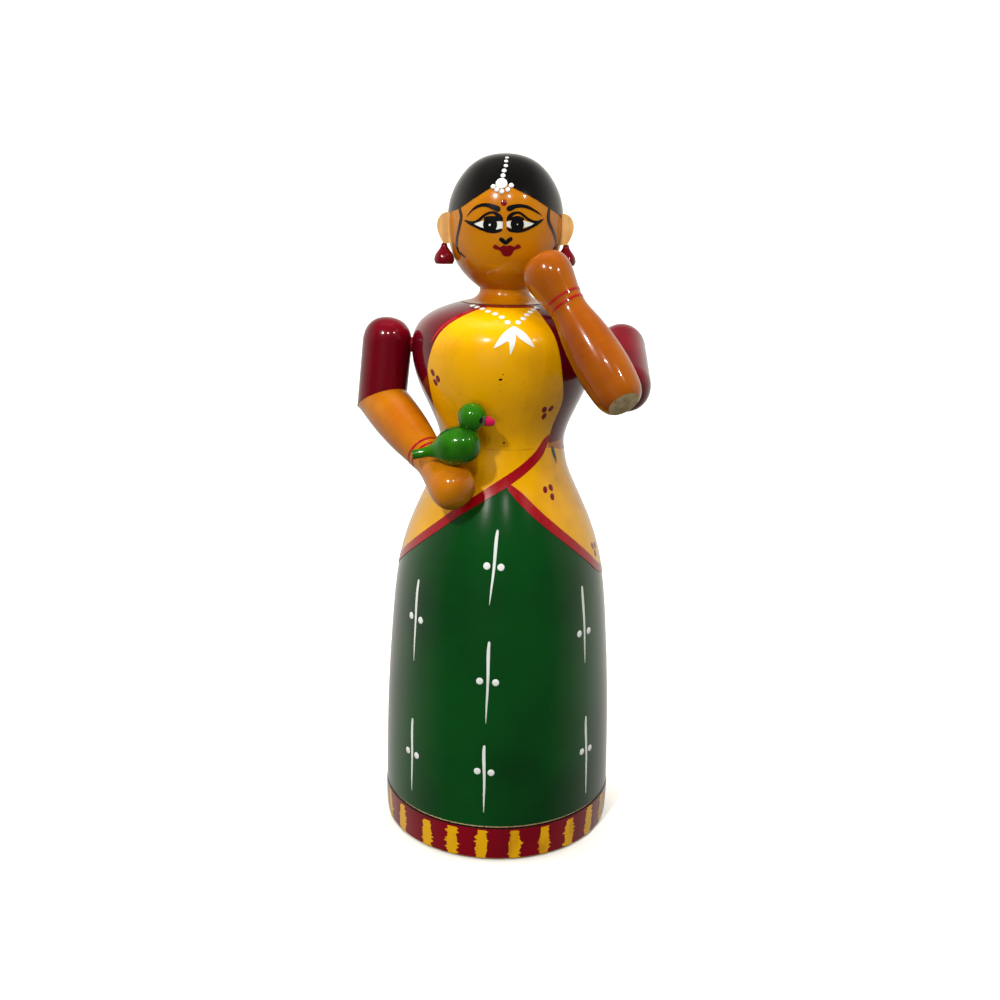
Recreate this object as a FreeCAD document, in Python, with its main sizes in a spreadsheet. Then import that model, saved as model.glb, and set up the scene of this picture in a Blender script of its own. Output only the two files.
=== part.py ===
"""Turned and lacquered wooden doll: a standing figure in a sari, with a parrot on one hand.

The doll is built as a turner builds it: a skirt, a bust and a head turned separately and doweled
together, two arms pegged to the shoulders, each cut and doweled at its elbow, flat ears let into
saw slots, turned earrings, a hair bun, and a parrot of three small turnings pegged to a hand.

Lengths are in millimetres and angles in degrees. +Z is up, the doll faces -Y, and its own right
hand, the one with the parrot, is towards -X. The origin is on the turning axis, on the flat base.
"""
import FreeCAD, Part
import math
import os

import Sketcher
from FreeCAD import Placement, Rotation, Vector

UP = Vector(0, 0, 1)
CURVE_DEGREE = 3

# Driving sizes. Each one becomes a cell of the spreadsheet, under the same name.
SIZES = {
    # the skirt, from the flat base to the waist seam
    "base_radius": 24.0,
    "base_edge_radius": 24.4,
    "base_edge_height": 0.5,
    "band_radius": 24.62,
    "band_height": 7.3,
    "line_depth": 0.3,
    "line_width": 0.22,
    "line_bevel": 0.24,
    "skirt_radius": 24.55,
    "skirt_height": 84.0,
    "waist_radius": 12.78,
    # the bust, from the waist seam to the flat the neck turns on
    "bust_height": 27.6,
    "bust_fullness": 18.69,
    "seat_radius": 8.6,
    # the head, with its neck
    "turning_gap": 0.08,
    "neck_height": 2.6,
    "neck_radius": 4.93,
    "head_height": 25.42,
    "head_fullness": 11.65,
    # dowels and pins
    "waist_dowel_radius": 3.5,
    "waist_dowel_depth": 10.0,
    "neck_dowel_radius": 2.2,
    "neck_dowel_depth": 9.0,
    "running_clearance": 0.05,
    "end_clearance": 0.4,
    "elbow_dowel_radius": 1.2,
    "elbow_dowel_depth": 3.6,
    "shoulder_pin_radius": 1.5,
    "shoulder_pin_depth": 8.0,
    "shoulder_pin_reach": 6.2,
    # ears and earrings
    "ear_thickness": 1.8,
    "ear_level": 8.52,
    "ear_height": 5.9,
    "ear_depth": 2.83,
    "ear_reach": 1.0,
    "ear_forward": 2.4,
    "earring_height": 3.9,
    "earring_radius": 2.0,
    "earring_top_radius": 0.55,
    "earring_pin_radius": 0.3,
    "earring_pin_depth": 1.4,
    # hair bun at the back of the head
    "bun_radius": 5.0,
    "bun_length": 6.6,
    "bun_depth": 1.83,
    "bun_level": 11.22,
    "bun_pin_radius": 0.9,
    "bun_pin_depth": 3.0,
    # sleeves
    "right_sleeve_radius": 4.95,
    "left_sleeve_radius": 4.85,
    "right_sleeve_length": 16.7,
    "left_sleeve_length": 19.3,
    # the forearm that holds the parrot
    "right_forearm_length": 31.3,
    "right_forearm_radius": 4.85,
    "right_wrist_radius": 3.35,
    "right_hand_radius": 4.45,
    # the forearm that is raised to the cheek
    "left_forearm_length": 28.9,
    "left_forearm_radius": 4.95,
    "left_wrist_radius": 3.5,
    "left_hand_radius": 4.6,
    "elbow_flat_distance": 4.1,
    # the parrot
    "parrot_length": 13.4,
    "parrot_radius": 3.8,
    "parrot_tail_radius": 0.95,
    "parrot_head_radius": 2.8,
    "beak_length": 2.0,
    "beak_radius": 1.0,
    "parrot_pin_radius": 0.5,
    "parrot_pin_depth": 1.6,
}

# Directions and offsets that the limbs and the parrot are laid out by.
SHOULDER_RISE = 0.6812      # level of the shoulder pegs, as a share of the bust's height
SHOULDER_TILT = {"right": 0.0, "left": 14.0}    # how far each peg rises outwards
SHOULDER_SINK = 0.19        # how far inside the fullest radius of the bust a peg enters it
JAW_SHARE = 0.87            # radius of the head beside the earrings, as a share of its fullest
ELBOW_FLAT_FACING = Vector(0.365, -0.689, -0.626)
HAND_TO_TAIL = Vector(-7.3, -0.5, 1.55)          # from the top of the parrot's perch
HAND_TO_BREAST = Vector(2.0, -0.5, 3.65)
HAND_TO_HEAD = Vector(4.0, -0.5, 9.05)
HAND_TO_BEAK_TIP = Vector(8.2, -0.5, 7.95)

ELBOW_SPARE = 0.8           # stock left past a mitred elbow, in radii, before it is sawn
NECK_SINK = 0.35            # how far the neck pin's middle is sunk, as a share of its depth
BEAK_SINK = 0.25            # how far the beak's foot is let into the head

# The pieces that are written out, each under its own label.
NODES = [
    "skirt", "bust", "waist_dowel", "shoulder_peg_right", "shoulder_peg_left",
    "head", "neck_dowel", "ear_right", "ear_left", "earring_right", "earring_left",
    "earring_pin_right", "earring_pin_left", "hair_bun", "bun_pin",
    "upper_arm_right", "forearm_right", "elbow_dowel_right",
    "upper_arm_left", "forearm_left", "elbow_dowel_left",
    "parrot_body", "parrot_head", "parrot_beak", "parrot_neck_pin", "perch_pin",
]


class Size:
    """A number that carries the spreadsheet expression it comes from."""

    def __init__(self, value, text):
        self.value = float(value)
        self.text = text

    @staticmethod
    def of(other):
        return other if isinstance(other, Size) else Size(other, repr(float(other)))

    def __add__(self, other):
        other = Size.of(other)
        return Size(self.value + other.value, f"({self.text} + {other.text})")

    def __sub__(self, other):
        other = Size.of(other)
        return Size(self.value - other.value, f"({self.text} - {other.text})")

    def __mul__(self, other):
        other = Size.of(other)
        return Size(self.value * other.value, f"({self.text} * {other.text})")

    __radd__ = __add__
    __rmul__ = __mul__


doc = FreeCAD.newDocument("LacquerDoll")
sheet = doc.addObject("Spreadsheet::Sheet", "Sizes")
for row, (alias, number) in enumerate(SIZES.items(), start=1):
    sheet.set(f"A{row}", alias)
    sheet.set(f"B{row}", str(number))
    sheet.setAlias(f"B{row}", alias)
doc.recompute()


def size(alias):
    """The named cell, as a Size."""
    return Size(float(sheet.get(alias)), f"Sizes.{alias}")


ZERO = Size(0, "0")


# ---------------------------------------------------------------- tools of the model

def facing(direction):
    """The rotation that turns +Z to the given direction."""
    return Rotation(UP, direction)


def between(start, end, share):
    """The Size that lies at a share of the way from start to end."""
    return start * (1 - share) + end * share


def shaped(start, end, shares):
    """Poles of a curve from start to end, each given as its share across and its share up."""
    return [(between(start[0], end[0], across), between(start[1], end[1], up))
            for across, up in shares]


def plane_of(body, role):
    return next(item for item in body.Origin.OriginFeatures if item.Role == role)


def pin_point(sketch, geometry, end, point):
    """Tie one end of a geometry to its two coordinates, each bound to its own expression."""
    for coordinate, kind, axis in ((point[0], "DistanceX", -2), (point[1], "DistanceY", -1)):
        if coordinate.value == 0:
            sketch.addConstraint(Sketcher.Constraint("PointOnObject", geometry, end, axis))
            continue
        place = Sketcher.Constraint(kind, -1, 1, geometry, end, coordinate.value)
        number = sketch.addConstraint(place)
        sketch.renameConstraint(number, f"{kind}_{geometry}_{end}")
        sketch.setExpression(f"Constraints.{kind}_{geometry}_{end}", coordinate.text)


def add_curve(sketch, poles, joined):
    """Add a smooth curve to a sketch and bind its poles, but not a first one that is joined."""
    points = [Vector(x.value, y.value, 0) for x, y in poles]
    spans = len(poles) - CURVE_DEGREE
    knots = [number / spans for number in range(spans + 1)]
    repeats = [CURVE_DEGREE + 1] + [1] * (spans - 1) + [CURVE_DEGREE + 1]
    curve = Part.BSplineCurve()
    curve.buildFromPolesMultsKnots(points, repeats, knots, False, CURVE_DEGREE)
    drawn = sketch.addGeometry(curve)
    first = None
    for number, (point, pole) in enumerate(zip(points, poles)):
        mark = sketch.addGeometry(Part.Circle(point, UP, 1.0), True)
        if first is None:
            first = mark
            sketch.addConstraint(Sketcher.Constraint("Weight", mark, 1.0))
        else:
            sketch.addConstraint(Sketcher.Constraint("Equal", first, mark))
        role = "InternalAlignment:Sketcher::BSplineControlPoint"
        sketch.addConstraint(Sketcher.Constraint(role, mark, 3, drawn, number))
        if number > 0 or not joined:
            pin_point(sketch, mark, 3, pole)
    return drawn


def draw_outline(sketch, outline):
    """Draw a closed outline from its first point: a point is a straight edge, a list a curve."""
    start = outline[0]
    point = start
    drawn = []
    for step in outline[1:] + [start]:
        if isinstance(step, list):
            joined = bool(drawn) and drawn[-1][1]
            drawn.append((add_curve(sketch, step, joined), True, step[-1]))
        else:
            ends = [Vector(x.value, y.value, 0) for x, y in (point, step)]
            drawn.append((sketch.addGeometry(Part.LineSegment(*ends)), False, step))
        point = drawn[-1][2]
    for number, (edge, curved, point) in enumerate(drawn):
        following, following_curved, _ = drawn[(number + 1) % len(drawn)]
        sketch.addConstraint(Sketcher.Constraint("Coincident", edge, 2, following, 1))
        if not curved and not following_curved:
            pin_point(sketch, edge, 2, point)


def new_sketch(body, name, role):
    sketch = body.newObject("Sketcher::SketchObject", name)
    sketch.AttachmentSupport = [(plane_of(body, role), "")]
    sketch.MapMode = "FlatFace"
    return sketch


def turned(name, outline, place=None):
    """A piece turned about its own Z axis: the outline is given as (radius, height) points."""
    body = doc.addObject("PartDesign::Body", name)
    sketch = new_sketch(body, name + "_outline", "XZ_Plane")
    draw_outline(sketch, outline)
    turning = body.newObject("PartDesign::Revolution", name + "_turning")
    turning.Profile = sketch
    turning.ReferenceAxis = (sketch, ["V_Axis"])
    turning.Angle = 360
    if place is not None:
        body.Placement = place
    return body


def rod(name, radius, length, place):
    """A plain dowel or pin, from its place along the place's Z axis."""
    item = doc.addObject("Part::Cylinder", name)
    item.setExpression("Radius", radius.text)
    item.setExpression("Height", length.text)
    item.Placement = place
    return item


def cut(name, base, tools):
    """The base with every tool taken out of it."""
    for number, tool in enumerate(tools, start=1):
        last = number == len(tools)
        item = doc.addObject("Part::Cut", name if last else f"{name}_cut_{number}")
        item.Base = base
        item.Tool = tool
        base = item
    return base


def crossing(name, radius, depth, middle, direction):
    """A rod that reaches the same depth to both sides of a point."""
    direction = Vector(direction).normalize()
    start = middle - direction * depth.value
    return rod(name, radius, depth * 2, Placement(start, facing(direction)))


# ---------------------------------------------------------------- skirt, bust and head

waist = size("skirt_height")
seat = waist + size("bust_height")
neck_base = seat + size("turning_gap")
neck_top = neck_base + size("neck_height")
ear_bottom = neck_top + size("ear_level")

# Places of the limbs: the left hand stands before the cheek, the rest follow the shoulders.
shoulder_level = between(waist, seat, SHOULDER_RISE).value
fullest = size("bust_fullness").value


def place_of(out, forwards, up):
    """A point beside the bust, out from its fullest radius and up from the shoulder pegs."""
    return Vector(math.copysign(fullest + abs(out), out), -forwards, shoulder_level + up)


RIGHT_SLEEVE_TOP = place_of(-4.81, 0, 0.5)
RIGHT_ELBOW = place_of(-6.01, 0, -11.2)
RIGHT_HAND = RIGHT_ELBOW + Vector(15.0, -18.0, -13.6)
LEFT_SLEEVE_TOP = place_of(5.11, 0, -0.1)
LEFT_SLEEVE_END = place_of(4.91, fullest - 5.39, -5.8)
LEFT_ELBOW = LEFT_SLEEVE_END + Vector(-2.95, -8.2, 0.95)
LEFT_HAND = Vector(8.0, -(size("head_fullness").value + 1.17), neck_top.value + 3.62)
PERCH = RIGHT_HAND + UP * size("right_hand_radius").value
PARROT_TAIL = PERCH + HAND_TO_TAIL
PARROT_BREAST = PERCH + HAND_TO_BREAST
PARROT_HEAD = PERCH + HAND_TO_HEAD
PARROT_BEAK_TIP = PERCH + HAND_TO_BEAK_TIP


def make_skirt():
    """The solid lower body: a banded hem, one turned line, and a long bell up to the waist."""
    line_floor = size("band_height") + size("line_bevel")
    line_top = line_floor + size("line_width")
    line_radius = size("skirt_radius") - size("line_depth")
    skirt_start = line_top + size("line_bevel")
    bell = shaped(
        (size("skirt_radius"), skirt_start), (size("waist_radius"), waist),
        [(0, 0), (0.013, 0.222), (0.130, 0.490), (0.263, 0.706), (0.789, 0.875), (1, 0.943), (1, 1)])
    band = shaped(
        (size("base_edge_radius"), size("base_edge_height")),
        (size("band_radius"), size("band_height")),
        [(0, 0), (0.5, 0.3), (1, 0.6), (1, 1)])
    socket = size("waist_dowel_radius")
    socket_floor = waist - size("waist_dowel_depth")
    return turned("skirt", [
        (ZERO, ZERO),
        (size("base_radius"), ZERO),
        (size("base_edge_radius"), size("base_edge_height")),
        band,
        (line_radius, line_floor),
        (line_radius, line_top),
        (size("skirt_radius"), skirt_start),
        bell,
        (socket, waist),
        (socket, socket_floor),
        (ZERO, socket_floor),
    ])


def make_bust(pin_holes):
    """The upper body in its blouse, with sockets for the waist dowel and the neck dowel."""
    fullness = size("bust_fullness")
    waist_radius = size("waist_radius")
    lower = shaped((waist_radius, waist), (fullness, seat),
                   [(0, 0), (0, 0.096), (0.745, 0.381), (1, 0.615), (0.967, 0.834)])
    upper = shaped((fullness, waist), (size("seat_radius"), seat), [(0.46, 0.951), (1, 1)])
    waist_socket = size("waist_dowel_radius")
    waist_end = waist + size("waist_dowel_depth")
    neck_socket = size("neck_dowel_radius") + size("running_clearance")
    neck_floor = seat - size("neck_dowel_depth") - size("end_clearance")
    blank = turned("bust_blank", [
        (waist_socket, waist),
        (waist_radius, waist),
        lower + upper,
        (neck_socket, seat),
        (neck_socket, neck_floor),
        (ZERO, neck_floor),
        (ZERO, waist_end),
        (waist_socket, waist_end),
    ])
    return cut("bust", blank, pin_holes)


def make_head(tools):
    """The head and neck in one turning, with a socket for the neck dowel."""
    fullness = size("head_fullness")
    neck_radius = size("neck_radius")
    crown = neck_top + size("head_height")
    flare = shaped((size("seat_radius"), neck_base), (neck_radius, neck_top),
                   [(0, 0), (0.5, 0.09), (0.92, 0.41), (1, 0.74), (1, 1)])
    ball = shaped((ZERO, neck_top), (fullness, crown),
                  [(0.7, 0.09), (0.962, 0.257), (1, 0.582), (0.827, 0.821), (0.418, 1), (0, 1)])
    socket = size("neck_dowel_radius")
    socket_end = neck_top + size("neck_dowel_depth")
    blank = turned("head_blank", [
        (socket, neck_base),
        (size("seat_radius"), neck_base),
        flare,
        [(neck_radius, neck_top)] + ball,
        (ZERO, socket_end),
        (socket, socket_end),
    ])
    return cut("head", blank, tools)


def make_body_dowels():
    waist_start = waist - size("waist_dowel_depth")
    rod("waist_dowel", size("waist_dowel_radius"), size("waist_dowel_depth") * 2,
        Placement(UP * waist_start.value, Rotation()))
    neck_start = seat - size("neck_dowel_depth")
    length = neck_top + size("neck_dowel_depth") - neck_start
    rod("neck_dowel", size("neck_dowel_radius"), length,
        Placement(UP * neck_start.value, Rotation()))


# ---------------------------------------------------------------- what the head carries

def make_ear(side, sign):
    """A flat ear, sawn from thin stock and let into a slot in the side of the head."""
    inside = size("head_fullness") - size("ear_depth")
    outside = size("head_fullness") + size("ear_reach")
    bottom = ear_bottom
    top = bottom + size("ear_height")
    rim = shaped((inside, bottom), (outside, top),
                 [(0.30, 1), (0.72, 1.02), (1.02, 0.92), (1.24, 0.58), (1.00, 0.16), (0.84, 0),
                  (0.72, 0)])
    body = doc.addObject("PartDesign::Body", f"ear_{side}_blank")
    sketch = new_sketch(body, f"ear_{side}_outline", "XZ_Plane")
    draw_outline(sketch, [(inside, bottom), (inside, top), rim[0], rim])
    pad = body.newObject("PartDesign::Pad", f"ear_{side}_pad")
    pad.Profile = sketch
    pad.setExpression("Length", size("ear_thickness").text)
    pad.Midplane = True
    turn = Rotation(UP, 180 if sign < 0 else 0)
    body.Placement = Placement(Vector(0, -size("ear_forward").value, 0), turn)
    return body


def make_earring(side, sign, ear):
    """A small turned bell under the ear lobe, with the wire pin that holds it to the ear."""
    height = size("earring_height")
    wide = size("earring_radius")
    narrow = size("earring_top_radius")
    depth = size("earring_pin_depth")
    forwards = size("ear_forward").value
    clear = (size("head_fullness") * JAW_SHARE + size("earring_radius")).value
    out = math.sqrt(clear ** 2 - forwards ** 2)
    top = Vector(sign * out, -forwards, ear_bottom.value)
    start = top - UP * height.value
    pin_start = top - UP * depth.value
    pin = rod(f"earring_pin_{side}", size("earring_pin_radius"), depth * 2,
              Placement(pin_start, Rotation()))
    bell = [(wide, height * 0.16), (wide, height * 0.32), (wide * 0.80, height * 0.58),
            (narrow * 1.1, height * 0.80), (narrow, height)]
    blank = turned(f"earring_{side}_blank", [
        (ZERO, ZERO),
        (wide * 0.86, ZERO),
        (wide, height * 0.16),
        bell,
        (ZERO, height),
    ], Placement(start, Rotation()))
    cut(f"earring_{side}", blank, [pin])
    cut(f"ear_{side}", ear, [pin])


def make_bun():
    """A turned knot of hair at the back of the head, and the pin that holds it."""
    radius = size("bun_radius")
    length = size("bun_length")
    out = size("head_fullness") - size("bun_depth")
    start = Vector(0, out.value, (neck_top + size("bun_level")).value)
    back = Vector(0, 1, 0)
    pin = crossing("bun_pin", size("bun_pin_radius"), size("bun_pin_depth"), start, back)
    round_end = [(radius * 0.8, ZERO), (radius * 1.05, length * 0.25), (radius * 1.05, length * 0.75),
                 (radius * 0.7, length), (radius * 0.3, length), (ZERO, length)]
    blank = turned("bun_blank", [(ZERO, ZERO), (radius * 0.8, ZERO), round_end],
                   Placement(start, facing(back)))
    cut("hair_bun", blank, [pin])
    return blank, pin


# ---------------------------------------------------------------- arms

def shoulder_peg(side, sign):
    """The peg a sleeve turns on, and the wider bore that it needs in the sleeve."""
    tilt = math.radians(SHOULDER_TILT[side])
    outwards = Vector(sign * math.cos(tilt), 0, math.sin(tilt))
    seat_point = Vector(sign * (fullest - SHOULDER_SINK), 0, shoulder_level)
    depth = size("shoulder_pin_depth")
    reach = size("shoulder_pin_reach")
    place = Placement(seat_point - outwards * depth.value, facing(outwards))
    peg = rod(f"shoulder_peg_{side}", size("shoulder_pin_radius"), depth + reach, place)
    bore = rod(f"shoulder_bore_{side}", size("shoulder_pin_radius") + size("running_clearance"),
               depth + reach + size("end_clearance"), place)
    return peg, bore


def make_sleeve(side, elbow, top, length, tools, rounded):
    """An upper arm in its sleeve: a rod with a round shoulder, and an elbow end cut or rounded."""
    radius = size(f"{side}_sleeve_radius")
    along = (top - elbow).normalize()
    if rounded:
        spare = radius
        end = [[(ZERO, ZERO), (radius * 0.5, ZERO), (radius, radius * 0.3), (radius, radius * 1.1)]]
    else:
        spare = radius * ELBOW_SPARE
        end = [(radius, ZERO)]
    total = length + spare
    dome = [(radius, total - radius * 1.1), (radius, total - radius * 0.3),
            (radius * 0.55, total), (ZERO, total)]
    blank = turned(f"upper_arm_{side}_blank", [(ZERO, ZERO), *end, dome[0], dome],
                   Placement(elbow - along * spare.value, facing(along)))
    return cut(f"upper_arm_{side}", blank, tools)


def make_forearm(side, elbow, hand, tools, rounded):
    """A forearm, wrist and closed hand in one turning, from the elbow to the tip of the hand."""
    radius = size(f"{side}_forearm_radius")
    wrist = size(f"{side}_wrist_radius")
    grip = size(f"{side}_hand_radius")
    along = (hand - elbow).normalize()
    if rounded:
        spare = radius
        start = [(ZERO, ZERO), (radius * 0.44, ZERO), (radius * 0.88, radius * 0.32)]
        end = []
    else:
        spare = radius * ELBOW_SPARE
        start = []
        end = [(radius, ZERO), (radius, spare)]
    tip = size(f"{side}_forearm_length") + spare
    reach = size(f"{side}_forearm_length")
    elbow_radius = radius * (0.97 if rounded else 1.0)
    arm = [*start, (elbow_radius, spare), (radius * 1.03, spare + reach * 0.12),
           (radius, spare + reach * 0.26), (radius * 0.87, spare + reach * 0.45),
           (wrist * 0.9, tip - grip * 2.54), (grip * 0.9, tip - grip * 1.58),
           (grip * 1.14, tip - grip * 0.62), (grip * 0.72, tip), (ZERO, tip)]
    blank = turned(f"forearm_{side}_blank", [(ZERO, ZERO), *end, arm],
                   Placement(elbow - along * spare.value, facing(along)))
    return cut(f"forearm_{side}", blank, tools)


def halfspace(name, point, direction):
    """A block wide enough to cut an arm across, standing on a point and facing a direction."""
    reach = size("right_sleeve_radius") * 2.4
    return rod(name, reach, reach, Placement(point, facing(direction)))


def make_right_arm():
    """The arm that holds the parrot: sleeve and forearm meet on one mitre, with a dowel in it."""
    peg, bore = shoulder_peg("right", -1)
    down = (RIGHT_ELBOW - RIGHT_SLEEVE_TOP).normalize()
    out = (RIGHT_HAND - RIGHT_ELBOW).normalize()
    mitre = (down + out).normalize()
    dowel = crossing("elbow_dowel_right", size("elbow_dowel_radius"), size("elbow_dowel_depth"),
                     RIGHT_ELBOW, mitre)
    make_sleeve("right", RIGHT_ELBOW, RIGHT_SLEEVE_TOP, size("right_sleeve_length"),
                [halfspace("right_mitre_below", RIGHT_ELBOW, mitre), dowel, bore], False)
    bird, perch = make_parrot_body()
    make_forearm("right", RIGHT_ELBOW, RIGHT_HAND,
                 [halfspace("right_mitre_above", RIGHT_ELBOW, mitre * -1), dowel, bird, perch],
                 False)
    return peg


def make_left_arm():
    """The raised arm: the forearm is cupped over the round end of the sleeve and doweled to it."""
    peg, bore = shoulder_peg("left", 1)
    lap = (LEFT_ELBOW - LEFT_SLEEVE_END).normalize()
    middle = (LEFT_ELBOW + LEFT_SLEEVE_END) * 0.5
    dowel = crossing("elbow_dowel_left", size("elbow_dowel_radius"), size("elbow_dowel_depth"),
                     middle, lap)
    sleeve = make_sleeve("left", LEFT_SLEEVE_END, LEFT_SLEEVE_TOP, size("left_sleeve_length"),
                         [dowel, bore], True)
    flat_at = LEFT_ELBOW + ELBOW_FLAT_FACING * size("elbow_flat_distance").value
    flat = halfspace("left_elbow_flat", flat_at, ELBOW_FLAT_FACING)
    make_forearm("left", LEFT_ELBOW, LEFT_HAND, [flat, sleeve, dowel], True)
    return peg


# ---------------------------------------------------------------- parrot

def make_parrot_body():
    """The body and tail in one turning, and the pin that holds it to the hand."""
    radius = size("parrot_radius")
    tail = size("parrot_tail_radius")
    length = size("parrot_length")
    along = (PARROT_BREAST - PARROT_TAIL).normalize()
    back = [(tail, ZERO), (tail * 0.95, length * 0.15), (tail * 0.96, length * 0.29),
            (radius * 0.8, length * 0.42), (radius * 1.02, length * 0.58),
            (radius * 1.02, length * 0.87), (radius * 0.5, length), (ZERO, length)]
    depth = size("parrot_pin_depth")
    pin_radius = size("parrot_pin_radius")
    seam_aside = facing(along) * Rotation(UP, 90)
    blank = turned("parrot_body_blank", [(ZERO, ZERO), (tail, ZERO), back],
                   Placement(PARROT_TAIL, seam_aside))
    perch = crossing("perch_pin", pin_radius, depth, PERCH, UP)
    nape = PARROT_HEAD - PARROT_BREAST
    neck_at = PARROT_BREAST + nape.normalize() * (radius.value - depth.value * NECK_SINK)
    neck = crossing("parrot_neck_pin", pin_radius, depth, neck_at, nape)
    body = cut("parrot_body", blank, [perch, neck])
    make_parrot_head(blank, neck)
    return body, perch


def make_parrot_head(body, neck):
    """The head ball, hollowed to sit on the body, with a cone for a beak."""
    radius = size("parrot_head_radius")
    beak_radius = size("beak_radius")
    beak_length = size("beak_length")
    forwards = (PARROT_BEAK_TIP - PARROT_HEAD).normalize()
    up = (PARROT_HEAD - PARROT_BREAST).normalize()
    low = PARROT_HEAD - up * radius.value
    ball = doc.addObject("Part::Sphere", "parrot_head_blank")
    ball.setExpression("Radius", radius.text)
    ball.Placement = Placement(low + up * radius.value, facing(up))
    root = PARROT_HEAD + forwards * (radius.value - BEAK_SINK)
    tip = [(beak_radius, ZERO), (beak_radius * 1.05, beak_length * 0.5),
           (beak_radius * 0.55, beak_length), (ZERO, beak_length)]
    beak = turned("parrot_beak", [(ZERO, ZERO), (beak_radius, ZERO), tip],
                  Placement(root, facing(forwards)))
    cut("parrot_head", ball, [body, neck, beak])


# ---------------------------------------------------------------- the doll, put together

make_skirt()
make_body_dowels()
right_peg = make_right_arm()
left_peg = make_left_arm()
make_bust([right_peg, left_peg])
head_tools = []
for ear_side, ear_sign in (("right", -1), ("left", 1)):
    whole_ear = make_ear(ear_side, ear_sign)
    make_earring(ear_side, ear_sign, whole_ear)
    head_tools.append(whole_ear)
head_tools.extend(make_bun())
make_head(head_tools)
doc.recompute()

for item in doc.Objects:
    if {"Invalid", "Error"} & set(item.State):
        raise RuntimeError(f"{item.Label} did not build: {item.State}")

os.makedirs("parts", exist_ok=True)
for name in NODES:
    piece = doc.getObject(name)
    shape = piece.Shape
    if shape.isNull() or not shape.isValid() or len(shape.Solids) != 1:
        raise RuntimeError(f"{name} is not one valid solid")
    shape.exportStep(f"parts/{piece.Label}.step")
    print(f"{piece.Label:24s} {shape.Volume:10.2f} mm3")
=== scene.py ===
"""Looks for a turned and lacquered wooden doll: a lady in a sari with a parrot on one hand.

Each turning is spun from the outline that its CAD solid was turned from, and each painted figure
is a thin skin of paint that follows the turning under it. Sizes are in millimetres and angles in
degrees until a mesh is made, which is in metres. An angle of 0 on a turning is its front, and
angles grow towards the doll's own left hand.
"""

import logging
import math
import random
from dataclasses import dataclass, field
from enum import Enum
from typing import Any, Callable, Iterable, Sequence

import bpy
import numpy as np
from mathutils import Matrix, Vector

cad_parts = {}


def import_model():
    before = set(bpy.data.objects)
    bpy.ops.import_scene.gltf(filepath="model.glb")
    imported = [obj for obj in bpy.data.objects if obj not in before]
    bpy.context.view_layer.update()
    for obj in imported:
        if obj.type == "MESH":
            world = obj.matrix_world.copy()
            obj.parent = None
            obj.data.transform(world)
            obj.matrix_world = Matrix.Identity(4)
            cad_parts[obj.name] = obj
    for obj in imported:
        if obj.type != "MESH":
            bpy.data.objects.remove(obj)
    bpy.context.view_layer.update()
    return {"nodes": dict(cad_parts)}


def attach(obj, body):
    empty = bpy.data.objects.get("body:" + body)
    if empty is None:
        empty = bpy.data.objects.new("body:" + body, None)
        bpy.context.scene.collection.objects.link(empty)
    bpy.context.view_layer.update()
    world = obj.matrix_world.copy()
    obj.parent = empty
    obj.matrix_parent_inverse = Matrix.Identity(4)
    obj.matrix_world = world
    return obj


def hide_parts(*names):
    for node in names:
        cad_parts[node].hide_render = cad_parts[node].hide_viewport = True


LOG = logging.getLogger("lacquer_doll")

MM = 0.001
SPOKES = 160
CURVE_STEPS = 14
WELD = 4e-7
SMOOTH_ANGLE = math.radians(35)
UP = Vector((0, 0, 1))

Pole = tuple[float, float]
Mark = tuple[float, ...]
Chart = Callable[[float, float], tuple[float, float]]


# ------------------------------------------------------------------ shader maths


class Wire:
    """A shader socket, or a plain number, that takes part in sums."""

    def __init__(self, tree: "Tree", socket: Any) -> None:
        """Keeps the tree the socket belongs to."""
        self.tree = tree
        self.socket = socket

    def _math(self, operation: str, *others: Any, first: Any = None) -> "Wire":
        """Adds a Math node.

        Args:
            operation: the Math node's operation.
            others: the operands after the first.
            first: the first operand, where it is not this socket.

        Returns:
            The node's result.
        """
        operands = [self if first is None else first, *others]
        node = self.tree.node("ShaderNodeMath", {"operation": operation}, dict(enumerate(operands)))
        return Wire(self.tree, node.outputs[0])

    def __add__(self, other: Any) -> "Wire":
        """This plus another."""
        return self._math("ADD", other)

    def __sub__(self, other: Any) -> "Wire":
        """This less another."""
        return self._math("SUBTRACT", other)

    def __rsub__(self, other: Any) -> "Wire":
        """Another less this."""
        return self._math("SUBTRACT", self, first=other)

    def __mul__(self, other: Any) -> "Wire":
        """This times another."""
        return self._math("MULTIPLY", other)

    __radd__ = __add__
    __rmul__ = __mul__

    def band(self, low: float, high: float, start: float = 0.0, end: float = 1.0) -> "Wire":
        """Eases from start to end while this goes from low to high.

        Args:
            low: the value at which the result leaves start.
            high: the value at which the result reaches end.
            start: the result below low.
            end: the result above high.

        Returns:
            The eased value.
        """
        node = self.tree.node(
            "ShaderNodeMapRange", {"interpolation_type": "SMOOTHSTEP"},
            {"Value": self, "From Min": low, "From Max": high, "To Min": start, "To Max": end})
        return Wire(self.tree, node.outputs["Result"])


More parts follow.
